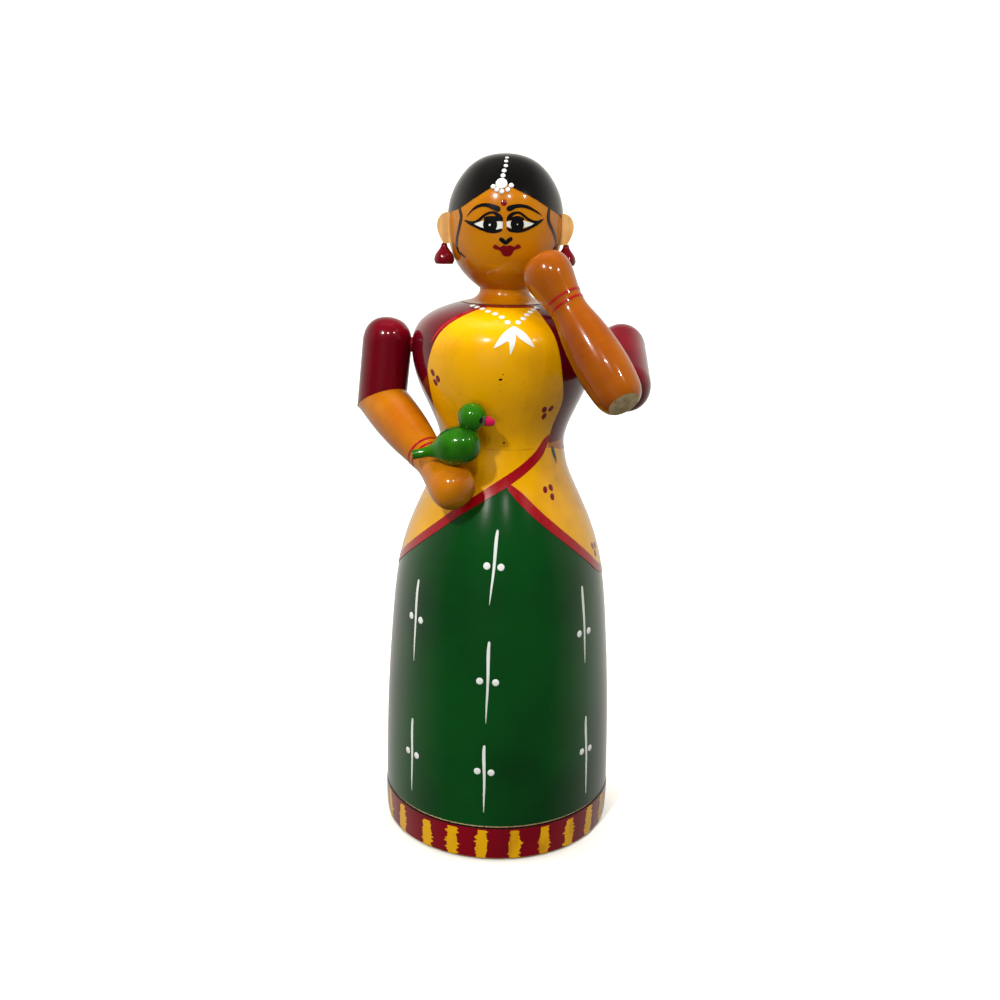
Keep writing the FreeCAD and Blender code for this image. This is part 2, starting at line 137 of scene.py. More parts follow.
class Tree:
    """One material and its nodes."""

    def __init__(self, name: str) -> None:
        """Starts an empty material."""
        self.material = bpy.data.materials.new(name)
        self.material.use_nodes = True
        self.nodes = self.material.node_tree.nodes
        self.nodes.clear()

    def node(self, kind: str, settings: dict[str, Any] | None = None,
             inputs: dict[Any, Any] | None = None) -> bpy.types.Node:
        """Adds a node.

        Args:
            kind: the node's type.
            settings: its properties, and under "stops" the stops of a colour ramp.
            inputs: a value, a socket or a Wire for each of its sockets.

        Returns:
            The node.
        """
        node = self.nodes.new(kind)
        for name, value in (settings or {}).items():
            if name == "stops":
                ramp = node.color_ramp.elements
                while len(ramp) < len(value):
                    ramp.new(0.5)
                for stop, (place, colour) in zip(ramp, value):
                    stop.position, stop.color = place, (*colour, 1)
            else:
                setattr(node, name, value)
        for name, value in (inputs or {}).items():
            socket = value.socket if isinstance(value, Wire) else value
            if isinstance(socket, bpy.types.NodeSocket):
                self.material.node_tree.links.new(socket, node.inputs[name])
            else:
                node.inputs[name].default_value = socket
        return node

    def wire(self, kind: str, output: Any, settings: dict[str, Any] | None = None,
             inputs: dict[Any, Any] | None = None) -> Wire:
        """Adds a node and gives one of its outputs."""
        return Wire(self, self.node(kind, settings, inputs).outputs[output])

    def place(self) -> Wire:
        """The place on the piece, in metres."""
        return self.wire("ShaderNodeTexCoord", "Object")

    def noise(self, place: Any, scale: float, detail: float = 2.0,
              stretch: Sequence[float] = (1, 1, 1)) -> Wire:
        """A soft random value.

        Args:
            place: where it is read.
            scale: how many blotches to a metre.
            detail: how many finer layers it has.
            stretch: a factor on the scale along each axis.

        Returns:
            The value, around a half.
        """
        mapped = self.wire("ShaderNodeMapping", "Vector", None, {"Vector": place, "Scale": tuple(stretch)})
        return self.wire("ShaderNodeTexNoise", 0, None, {"Vector": mapped, "Scale": scale, "Detail": detail})

    def rings(self, place: Any, foot: Vector, axis: Vector, pitch: float) -> Wire:
        """A random value that changes only along an axis, as turning lines do.

        Args:
            place: where it is read.
            foot: a point of the axis, in metres.
            axis: the axis.
            pitch: how far apart the lines are, in metres.

        Returns:
            The value, around a half.
        """
        away = self.wire("ShaderNodeVectorMath", 0, {"operation": "SUBTRACT"}, {0: place, 1: tuple(foot)})
        along = self.wire("ShaderNodeVectorMath", "Value", {"operation": "DOT_PRODUCT"},
                          {0: away, 1: tuple(axis)})
        return self.wire("ShaderNodeTexNoise", 0, {"noise_dimensions": "1D"},
                         {"W": along, "Scale": 1 / pitch, "Detail": 3.0})

    def blend(self, share: Any, first: Any, second: Any) -> Wire:
        """Mixes two colours.

        Args:
            share: how much of the second shows.
            first: a colour or a Wire.
            second: a colour or a Wire.

        Returns:
            The mixed colour.
        """
        full = [(*c, 1) if isinstance(c, tuple) else c for c in (first, second)]
        return self.wire("ShaderNodeMix", 2, {"data_type": "RGBA"}, {0: share, 6: full[0], 7: full[1]})

    def bump(self, height: Any, strength: float, distance: float) -> Wire:
        """A normal from a height, in metres at full strength."""
        return self.wire("ShaderNodeBump", "Normal", None,
                         {"Height": height, "Strength": strength, "Distance": distance})

    def finish(self, **inputs: Any) -> bpy.types.Material:
        """Adds the surface shader.

        Args:
            inputs: its sockets, with underscores for spaces.

        Returns:
            The material.
        """
        named = {name.replace("_", " "): value for name, value in inputs.items()}
        shader = self.node("ShaderNodeBsdfPrincipled", None, named)
        self.node("ShaderNodeOutputMaterial", None, {"Surface": shader.outputs[0]})
        return self.material


Colour = tuple[float, float, float]


def paint(red: int, green: int, blue: int) -> Colour:
    """A colour from its three shares in 255, as a shader takes it."""
    shares = [value / 255 for value in (red, green, blue)]
    return tuple(v / 12.92 if v <= 0.04045 else ((v + 0.055) / 1.055) ** 2.4 for v in shares)


@dataclass(frozen=True)
class Lacquer:
    """Stick lacquer burnt on at the lathe: clear, deep, and lined by the turning."""

    name: str
    colour: Colour
    deep: Colour
    roughness: float = 0.16
    lines: float = 0.35
    blotch: float = 90.0

    def material(self, foot: Vector = Vector((0, 0, 0)), axis: Vector = UP,
                 label: str = "") -> bpy.types.Material:
        """Mixes the lacquer for a turning.

        Args:
            foot: a point of the turning's axis, in metres.
            axis: its direction.
            label: what is added to the material's name.

        Returns:
            The material.
        """
        tree = Tree(self.name + label)
        place = tree.place()
        cloud = tree.noise(place, self.blotch, 3.0)
        rings = tree.rings(place, foot, axis, 0.0009)
        fine = tree.rings(place, foot, axis, 0.00022)
        share = (cloud * 0.85 + rings * (0.3 * self.lines)).band(0.30, 0.66)
        pits = tree.noise(place, 1500.0, 1.0)
        specks = pits.band(0.70, 0.78)
        height = rings * self.lines + fine * (self.lines * 0.35) + cloud * 0.5 - specks * 0.08
        return tree.finish(
            Base_Color=tree.blend(share * 0.8 + specks * 0.2, self.colour, self.deep),
            Roughness=cloud.band(0.3, 0.8, self.roughness, self.roughness + 0.12),
            Specular_IOR_Level=0.15, Coat_Weight=1.0, Coat_Roughness=0.035, Coat_IOR=1.42,
            Normal=tree.bump(height, 0.35, 0.00006))


@dataclass(frozen=True)
class BrushPaint:
    """Enamel laid on with a brush over the lacquer, under the last clear coat."""

    name: str
    colour: Colour
    thin: Colour
    streak: float = 500.0
    cover: float = 0.55

    def material(self) -> bpy.types.Material:
        """Mixes the paint."""
        tree = Tree(self.name)
        place = tree.place()
        cloud = tree.noise(place, 120.0, 3.0)
        strokes = tree.noise(place, self.streak, 2.0, (1.0, 1.0, 0.16))
        share = (cloud * 0.5 + strokes * 0.5).band(self.cover, self.cover + 0.25)
        return tree.finish(
            Base_Color=tree.blend(share, self.colour, self.thin),
            Roughness=strokes.band(0.3, 0.7, 0.20, 0.34),
            Specular_IOR_Level=0.2, Coat_Weight=1.0, Coat_Roughness=0.05, Coat_IOR=1.42,
            Normal=tree.bump(strokes * 0.6 + cloud * 0.8, 0.35, 0.00006))


@dataclass(frozen=True)
class SariPaint:
    """Yellow enamel of the sari: brushed thin in places, chipped, and lined at the waist seam."""

    name: str
    seam: float
    colour: Colour = paint(234, 170, 0)
    deep: Colour = paint(200, 136, 1)
    stain: Colour = paint(96, 104, 24)

    def material(self) -> bpy.types.Material:
        """Mixes the paint."""
        tree = Tree(self.name)
        place = tree.place()
        parts = tree.node("ShaderNodeSeparateXYZ", None, {0: place})
        height = Wire(tree, parts.outputs[2])
        cloud = tree.noise(place, 75.0, 4.0)
        strokes = tree.noise(place, 420.0, 2.0, (1.0, 1.0, 0.12))
        shade = (cloud * 0.8 + strokes * 0.2).band(0.46, 0.70)
        smear = tree.noise(place, 160.0, 2.0, (1.0, 1.0, 0.5)).band(0.63, 0.80)
        specks = tree.noise(place, 2600.0, 0.0).band(0.80, 0.84)
        below = height.band(self.seam - 0.00016, self.seam - 0.00004)
        crack = below * height.band(self.seam + 0.00004, self.seam + 0.00016, 1.0, 0.0)
        crack = crack * tree.noise(place, 260.0, 1.0).band(0.42, 0.52)
        base = tree.blend(shade * 0.6, self.colour, self.deep)
        base = tree.blend(smear * 0.3, base, self.stain)
        base = tree.blend(specks * 0.4 + crack * 0.25, base, paint(90, 60, 10))
        return tree.finish(
            Base_Color=base,
            Roughness=strokes.band(0.3, 0.7, 0.16, 0.30),
            Specular_IOR_Level=0.2, Coat_Weight=1.0, Coat_Roughness=0.04, Coat_IOR=1.42,
            Normal=tree.bump(strokes * 0.3 + cloud * 1.2 - crack * 0.6, 0.35, 0.00008))


@dataclass(frozen=True)
class Wood:
    """Pale close-grained wood, bare or under one thin coat of varnish."""

    name: str
    light: Colour
    dark: Colour
    coat: float = 0.0
    roughness: float = 0.62
    marks: float = 0.0

    def material(self) -> bpy.types.Material:
        """Cuts the wood."""
        tree = Tree(self.name)
        place = tree.place()
        grain = tree.noise(place, 900.0, 4.0, (1.0, 1.0, 0.08))
        cloud = tree.noise(place, 200.0, 2.0)
        pores = tree.noise(place, 3000.0, 1.0, (1.0, 1.0, 0.2)).band(0.62, 0.74)
        share = (grain * 0.6 + cloud * 0.4).band(0.36, 0.66)
        base = tree.blend(share, self.light, self.dark)
        base = tree.blend(pores * (0.25 + self.marks), base, paint(70, 50, 30))
        return tree.finish(
            Base_Color=base,
            Roughness=grain.band(0.3, 0.7, self.roughness - 0.1, self.roughness + 0.1),
            Coat_Weight=self.coat, Coat_Roughness=0.12,
            Normal=tree.bump(grain - pores, 0.4, 0.00008))


@dataclass(frozen=True)
class Metal:
    """Fine steel wire."""

    name: str

    def material(self) -> bpy.types.Material:
        """Draws the wire."""
        tree = Tree(self.name)
        drawn = tree.noise(tree.place(), 4000.0, 1.0, (1.0, 1.0, 0.1))
        return tree.finish(
            Base_Color=tree.blend(drawn, paint(170, 168, 160), paint(120, 116, 108)),
            Metallic=1.0, Roughness=drawn.band(0.2, 0.8, 0.25, 0.45),
            Normal=tree.bump(drawn, 0.3, 0.00003))


class Tin(Enum):
    """The tins of colour on the painter's bench."""

    GREEN = Lacquer("green_lacquer", paint(4, 70, 20), paint(2, 38, 14), lines=0.08, blotch=38.0)
    MAROON = Lacquer("maroon_lacquer", paint(112, 2, 20), paint(76, 2, 18), lines=0.15)
    HEM = Lacquer("hem_lacquer", paint(132, 2, 22), paint(104, 2, 22), lines=0.15)
    SKIN = Lacquer("skin_lacquer", paint(192, 122, 5), paint(166, 80, 5), lines=0.25, blotch=70.0)
    # Darker, redder skin for the left forearm: partly its own redder tint, partly painted shade on an arm
    # that the left lamp lights strongly.
    DEEP_SKIN = Lacquer("deep_skin_lacquer", paint(158, 84, 6), paint(128, 52, 6), lines=0.25, blotch=70.0)
    HAIR = Lacquer("hair_lacquer", paint(14, 13, 12), paint(4, 4, 4), lines=0.2)
    PARROT = Lacquer("parrot_lacquer", paint(36, 104, 5), paint(9, 64, 6), lines=0.2, blotch=220.0)
    BEAK = Lacquer("beak_lacquer", paint(214, 22, 84), paint(160, 8, 60), lines=0.2, blotch=300.0)
    RED = BrushPaint("border_red", paint(158, 2, 20), paint(120, 2, 18))
    DOT_RED = BrushPaint("flower_red", paint(116, 1, 14), paint(88, 1, 12))
    HEM_YELLOW = BrushPaint("hem_yellow", paint(232, 172, 8), paint(184, 118, 6), cover=0.48)
    WHITE = BrushPaint("white_paint", paint(226, 230, 228), paint(178, 196, 190), cover=0.52)
    BLACK = BrushPaint("black_paint", paint(10, 9, 10), paint(30, 10, 12), cover=0.6)
    BROWN = BrushPaint("brown_line", paint(34, 6, 6), paint(20, 4, 5))
    LEAF = BrushPaint("dark_leaf", paint(6, 52, 14), paint(10, 74, 14))
    RAW = Wood("raw_wood", paint(214, 196, 150), paint(176, 150, 104), marks=0.5)
    VARNISHED = Wood("varnished_wood", paint(232, 184, 112), paint(206, 148, 78), coat=0.5, roughness=0.4)
    STEEL = Metal("steel_wire")


_mixed: dict[str, bpy.types.Material] = {}


def mixed(tin: Tin, foot: Vector | None = None, axis: Vector | None = None,
          label: str = "") -> bpy.types.Material:
    """The material of a tin, mixed once for each turning that has its own axis.

    Args:
        tin: which tin.
        foot: a point of the turning's axis, in metres, for a lacquer.
        axis: the direction of the axis, for a lacquer.
        label: what is added to the material's name.

    Returns:
        The material.
    """
    key = tin.name + label
    if key not in _mixed:
        if isinstance(tin.value, Lacquer) and axis is not None:
            _mixed[key] = tin.value.material(foot, axis, label)
        else:
            _mixed[key] = tin.value.material()
    return _mixed[key]


# ------------------------------------------------------------------ modelling tools


def only(piece: bpy.types.Object) -> bpy.types.Object:
    """Selects one object and nothing else."""
    bpy.ops.object.select_all(action="DESELECT")
    piece.select_set(True)
    bpy.context.view_layer.objects.active = piece
    return piece


def edit(piece: bpy.types.Object, *steps: Callable[[], Any]) -> bpy.types.Object:
    """Runs edit-mode steps on the whole of a mesh.

    Args:
        piece: the mesh.
        steps: what to run, each with everything selected.

    Returns:
        The same piece.
    """
    only(piece)
    bpy.ops.object.mode_set(mode="EDIT")
    for step in steps:
        bpy.ops.mesh.select_all(action="SELECT")
        step()
    bpy.ops.object.mode_set(mode="OBJECT")
    return piece


def weld() -> None:
    """Merges the points that lie on each other."""
    bpy.ops.mesh.remove_doubles(threshold=WELD)


def face_out() -> None:
    """Turns every face of a closed mesh outwards."""
    bpy.ops.mesh.normals_make_consistent(inside=False)


def smooth(piece: bpy.types.Object) -> bpy.types.Object:
    """Shades a piece smooth but for its sharp edges."""
    only(piece)
    bpy.ops.object.shade_smooth_by_angle(angle=SMOOTH_ANGLE)
    return piece


def dress(piece: bpy.types.Object, *materials: bpy.types.Material) -> bpy.types.Object:
    """Gives a piece its materials, the first one all over."""
    piece.data.materials.clear()
    for material in materials:
        piece.data.materials.append(material)
    return piece


def joined(name: str, pieces: Iterable[bpy.types.Object]) -> bpy.types.Object:
    """Joins pieces into one mesh.

    Args:
        name: the name of the result.
        pieces: what is joined.

    Returns:
        The joined piece.
    """
    parts = list(pieces)
    only(parts[0])
    for part in parts:
        part.select_set(True)
    bpy.ops.object.join()
    parts[0].name = name
    parts[0].data.name = name
    return parts[0]


def through(points: Sequence[Mark], share: float, rounded: bool = True) -> np.ndarray:
    """A smooth line through points.

    Args:
        points: the points, each of the same few numbers.
        share: how far along, from 0 to 1.
        rounded: False for straight runs between the points.

    Returns:
        The numbers at that share.
    """
    rows = np.array(points, float)
    spans = len(rows) - 1
    place = min(max(share, 0.0), 1.0) * spans
    first = min(int(place), spans - 1)
    rest = place - first
    before, start, end, after = (rows[min(max(first + step, 0), spans)] for step in (-1, 0, 1, 2))
    if not rounded:
        return start + (end - start) * rest
    bend = (2 * before - 5 * start + 4 * end - after) * rest ** 2
    turn = (3 * start - before - 3 * end + after) * rest ** 3
    return 0.5 * (2 * start + (end - before) * rest + bend + turn)


# ------------------------------------------------------------------ turnings and the paint on them


@dataclass
class Surface:
    """The outside of a turning as its painter sees it: an angle round it and a way up it."""

    radii: np.ndarray
    heights: np.ndarray
    place: Matrix = field(default_factory=lambda: Matrix.Identity(4))

    def __post_init__(self) -> None:
        """Measures the way up the outside."""
        steps = np.hypot(np.diff(self.radii), np.diff(self.heights))
        self.ways = np.concatenate([[0.0], np.cumsum(steps)])
        self.out = np.gradient(self.heights, self.ways)
        self.rise = -np.gradient(self.radii, self.ways)

    def way(self, height: float) -> float:
        """How far up the outside a height on the axis is."""
        return float(np.interp(height, self.heights, self.ways))

    def radius(self, way: float) -> float:
        """The radius at a way up the outside."""
        return float(np.interp(way, self.ways, self.radii))

    def point(self, angle: float, way: float, lift: float) -> Vector:
        """A point on or over the outside.

        Args:
            angle: the angle from the front.
            way: the way up the outside.
            lift: how far it stands off.

        Returns:
            The point, in metres.
        """
        out, rise = np.interp(way, self.ways, self.out), np.interp(way, self.ways, self.rise)
        radius = self.radius(way) + lift * out
        height = float(np.interp(way, self.ways, self.heights)) + lift * rise
        turn = math.radians(angle)
        local = Vector((radius * math.sin(turn), -radius * math.cos(turn), height))
        return self.place @ (local * MM)


@dataclass
class Turning:
    """A piece turned round its own axis from an outline of straight runs and smooth curves.

    Attributes:
        name: the piece's name.
        runs: the outline from the axis round the outside and back to the axis.
        outside: which runs the paint lies on.
        foot: where the outline's own origin stands.
        axis: the direction of its axis.
    """

    name: str
    runs: list[list[Pole]]
    outside: slice
    foot: Vector = field(default_factory=lambda: Vector((0, 0, 0)))
    axis: Vector = field(default_factory=lambda: UP.copy())
    spokes: int = SPOKES

    def __post_init__(self) -> None:
        """Finds where the turning stands."""
        self.axis = self.axis.normalized()
        turn = UP.rotation_difference(self.axis).to_matrix().to_4x4()
        self.place = Matrix.Translation(self.foot * MM) @ turn

    def _line(self, runs: list[list[Pole]], name: str) -> bpy.types.Object:
        """Draws runs as splines and makes them a mesh of edges."""
        curve = bpy.data.curves.new(name, "CURVE")
        curve.dimensions = "3D"
        curve.resolution_u = CURVE_STEPS
        for run in runs:
            curved = len(run) > 2
            spline = curve.splines.new("NURBS" if curved else "POLY")
            spline.points.add(len(run) - 1)
            for point, (radius, height) in zip(spline.points, run):
                point.co = (radius * MM, 0, height * MM, 1)
            if curved:
                spline.order_u = 4
                spline.use_endpoint_u = True
        line = bpy.data.objects.new(name, curve)
        bpy.context.scene.collection.objects.link(line)
        only(line)
        bpy.ops.object.convert(target="MESH")
        return bpy.context.view_layer.objects.active

    def surface(self) -> Surface:
        """The outside that paint lies on."""
        line = self._line(self.runs[self.outside], self.name + "_chart")
        points = np.array([vertex.co for vertex in line.data.vertices], float) / MM
        bpy.data.objects.remove(line)
        steps = np.hypot(*np.diff(points[:, [0, 2]], axis=0).T)
        kept = [0] + [i + 1 for i, step in enumerate(steps) if step > 1e-4]
        return Surface(points[kept, 0], points[kept, 2], self.place)

    def spin(self) -> bpy.types.Object:
        """Spins the outline into a closed mesh and stands it in its place."""
        piece = self._line(self.runs, self.name)
        piece.name = self.name
        edit(piece, weld,
             lambda: bpy.ops.mesh.spin(steps=self.spokes, angle=math.tau, center=(0, 0, 0), axis=(0, 0, 1)),
             weld, face_out)
        piece.data.name = self.name
        piece.matrix_world = self.place
        only(piece)
        bpy.ops.object.transform_apply(location=True, rotation=True, scale=True)
        return smooth(piece)

    def lacquered(self, tin: Tin) -> bpy.types.Material:
        """A lacquer whose lines run round this turning."""
        if self.axis == UP and self.foot.x == 0 and self.foot.y == 0:
            return mixed(tin, Vector((0, 0, 0)), UP, "_upright")
        return mixed(tin, self.foot * MM, self.axis, "_" + self.name)


@dataclass
class Brush:
    """Lays paint on a turning: areas between two edges, strokes along a line, and drops."""

    surface: Surface
    lift: float = 0.02
    thickness: float = 0.05

    def _sheet(self, name: str, columns: int, rows: int, chart: Chart,
               ring: bool = False) -> bpy.types.Object:
        """A grid laid on the turning and given its thickness.

        Args:
            name: the piece's name.
            columns: cells along the first share.
            rows: cells along the second share.
            chart: gives an angle and a way for two shares from 0 to 1.
            ring: True where the first share goes all the way round.

        Returns:
            The piece.
        """
        bpy.ops.object.select_all(action="DESELECT")
        bpy.ops.mesh.primitive_grid_add(x_subdivisions=columns, y_subdivisions=rows, size=1)
        piece = bpy.context.object
        piece.name = name
        piece.data.name = name
        for vertex in piece.data.vertices:
            angle, way = chart(vertex.co.x + 0.5, vertex.co.y + 0.5)
            vertex.co = self.surface.point(angle, way, self.lift)
        if ring:
            edit(piece, weld)
        self._outwards(piece)
        wall = piece.modifiers.new("thickness", "SOLIDIFY")
        wall.thickness = self.thickness * MM
        wall.offset = 1
        only(piece)
        bpy.ops.object.modifier_apply(modifier=wall.name)
        return smooth(piece)

    def _outwards(self, piece: bpy.types.Object) -> None:
        """Turns an open sheet so that its faces look away from the turning's axis."""
        foot = self.surface.place.translation
        axis = (self.surface.place.to_3x3() @ UP).normalized()
        total = 0.0
        for face in piece.data.polygons:
            away = face.center - foot
            away -= axis * away.dot(axis)
            total += face.normal.dot(away.normalized()) * face.area
        if total < 0:
            edit(piece, bpy.ops.mesh.flip_normals)

    def area(self, name: str, first: Sequence[Mark], second: Sequence[Mark], columns: int, rows: int,
             rounded: bool = True, ring: bool = False) -> bpy.types.Object:
        """Fills the area between two edges.

        Args:
            name: the piece's name.
            first: the (angle, height) points of one edge.
            second: those of the other, in the same direction.
            columns: cells along the edges.
            rows: cells from edge to edge.
            rounded: False for edges with corners.
            ring: True where the area goes all the way round.

        Returns:
            The piece.
        """
        edges = [[(angle, self.surface.way(height)) for angle, height in edge] for edge in (first, second)]

        def chart(along: float, across: float) -> tuple[float, float]:
            """Goes from edge to edge."""
            start, end = (through(edge, along, rounded) for edge in edges)
            angle, way = start + (end - start) * across
            return float(angle), float(way)

        return self._sheet(name, columns, rows, chart, ring)

    def stroke(self, name: str, line: Sequence[Mark], steps: int = 28, rows: int = 4,
               round_ends: bool = True, ring: bool = False) -> bpy.types.Object:
        """Draws a stroke of changing width.

        Args:
            name: the piece's name.
            line: the (angle, height, width) points along its middle.
            steps: cells along it.
            rows: cells across it.
            round_ends: False for square ends.
            ring: True where the stroke closes on itself.

        Returns:
            The piece.
        """
        marks = [(angle, self.surface.way(height), width) for angle, height, width in line]
        samples = np.array([through(marks, i / steps) for i in range(steps + 1)])
        around = np.array([self.surface.radius(way) for way in samples[:, 1]]) * math.pi / 180
        flat = np.stack([np.gradient(samples[:, 0]) * around, np.gradient(samples[:, 1])], 1)
        flat /= np.maximum(np.hypot(flat[:, 0], flat[:, 1]), 1e-9)[:, None]
        reach = np.concatenate([[0], np.cumsum(np.hypot(
            np.diff(samples[:, 0]) * (around[1:] + around[:-1]) / 2, np.diff(samples[:, 1])))])
        widths = np.maximum(samples[:, 2], 0.02)
        if round_ends:
            for index in range(steps + 1):
                end = min(reach[index], reach[-1] - reach[index])
                cap = widths[index] / 2
                if end < cap:
                    widths[index] *= max(math.sqrt(max(1 - (1 - end / cap) ** 2, 0)), 0.08)

        def chart(along: float, across: float) -> tuple[float, float]:
            """Goes across the stroke at a step of it."""
            index = min(int(round(along * steps)), steps)
            aside = (across - 0.5) * widths[index]
            angle = samples[index, 0] - flat[index, 1] * aside / around[index]
            way = samples[index, 1] + flat[index, 0] * aside
            return float(angle), float(way)

        return self._sheet(name, steps, rows, chart, ring)

    def drop(self, name: str, angle: float, height: float, width: float, tall: float | None = None,
             rise: float = 0.12, turn: float = 0.0) -> bpy.types.Object:
        """Sets down a domed drop of paint.

        Args:
            name: the piece's name.
            angle: the angle of its middle.
            height: the height of its middle.
            width: its breadth.
            tall: its length, where it is not round.
            rise: how far its middle stands up.
            turn: how far it is turned from upright.

        Returns:
            The piece.
        """
        bpy.ops.object.select_all(action="DESELECT")
        bpy.ops.mesh.primitive_uv_sphere_add(segments=20, ring_count=10, radius=1)
        piece = bpy.context.object
        piece.name = name
        piece.data.name = name
        middle = self.surface.way(height)
        around = self.surface.radius(middle) * math.pi / 180
        lean = math.radians(turn)
        for vertex in piece.data.vertices:
            across, along = vertex.co.x * width / 2, vertex.co.y * (tall or width) / 2
            aside = across * math.cos(lean) - along * math.sin(lean)
            up = across * math.sin(lean) + along * math.cos(lean)
            lift = self.lift + (vertex.co.z * rise if vertex.co.z > 0 else vertex.co.z * 0.02)
            vertex.co = self.surface.point(angle + aside / around, middle + up, lift)
        edit(piece, weld, face_out)
        return smooth(piece)


# ------------------------------------------------------------------ the doll


def keep(piece: bpy.types.Object, body: str, slot: str, *stands_for: str) -> bpy.types.Object:
    """Puts a finished piece on its body.

    Args:
        piece: the piece.
        body: the CAD body it moves with.
        slot: not used.
        stands_for: the CAD nodes it replaces.

    Returns:
        The piece.
    """
    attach(piece, body)
    if stands_for:
        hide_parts(*stands_for)
    LOG.info("%s rides on %s, with %d faces", piece.name, body, len(piece.data.polygons))
    return piece


def lay(name: str, strokes: Sequence[bpy.types.Object], material: bpy.types.Material,
        body: str, slot: str) -> None:
    """Joins painted strokes under one name, gives them a material and keeps them on a body.

    Args:
        name: the joined piece's name.
        strokes: the strokes.
        material: their material.
        body: the CAD body they move with.
        slot: a label passed on to keep.
    """
    keep(dress(joined(name, strokes), material), body, slot)


def shaped(start: Pole, end: Pole, shares: Sequence[Pole]) -> list[Pole]:
    """Poles of a curve from start to end, each given as its share across and its share up."""
    return [(start[0] + (end[0] - start[0]) * across, start[1] + (end[1] - start[1]) * up)
            for across, up in shares]


def saw(piece: bpy.types.Object, point: Vector, direction: Vector) -> bpy.types.Object:
    """Saws off what lies past a plane and closes the cut.

    Args:
        piece: the piece.
        point: a point of the plane, in metres.
        direction: the side that falls away.

    Returns:
        The piece.
    """
    edit(piece, lambda: bpy.ops.mesh.bisect(
        plane_co=point, plane_no=direction, use_fill=True, clear_outer=True, threshold=1e-7))
    return smooth(piece)


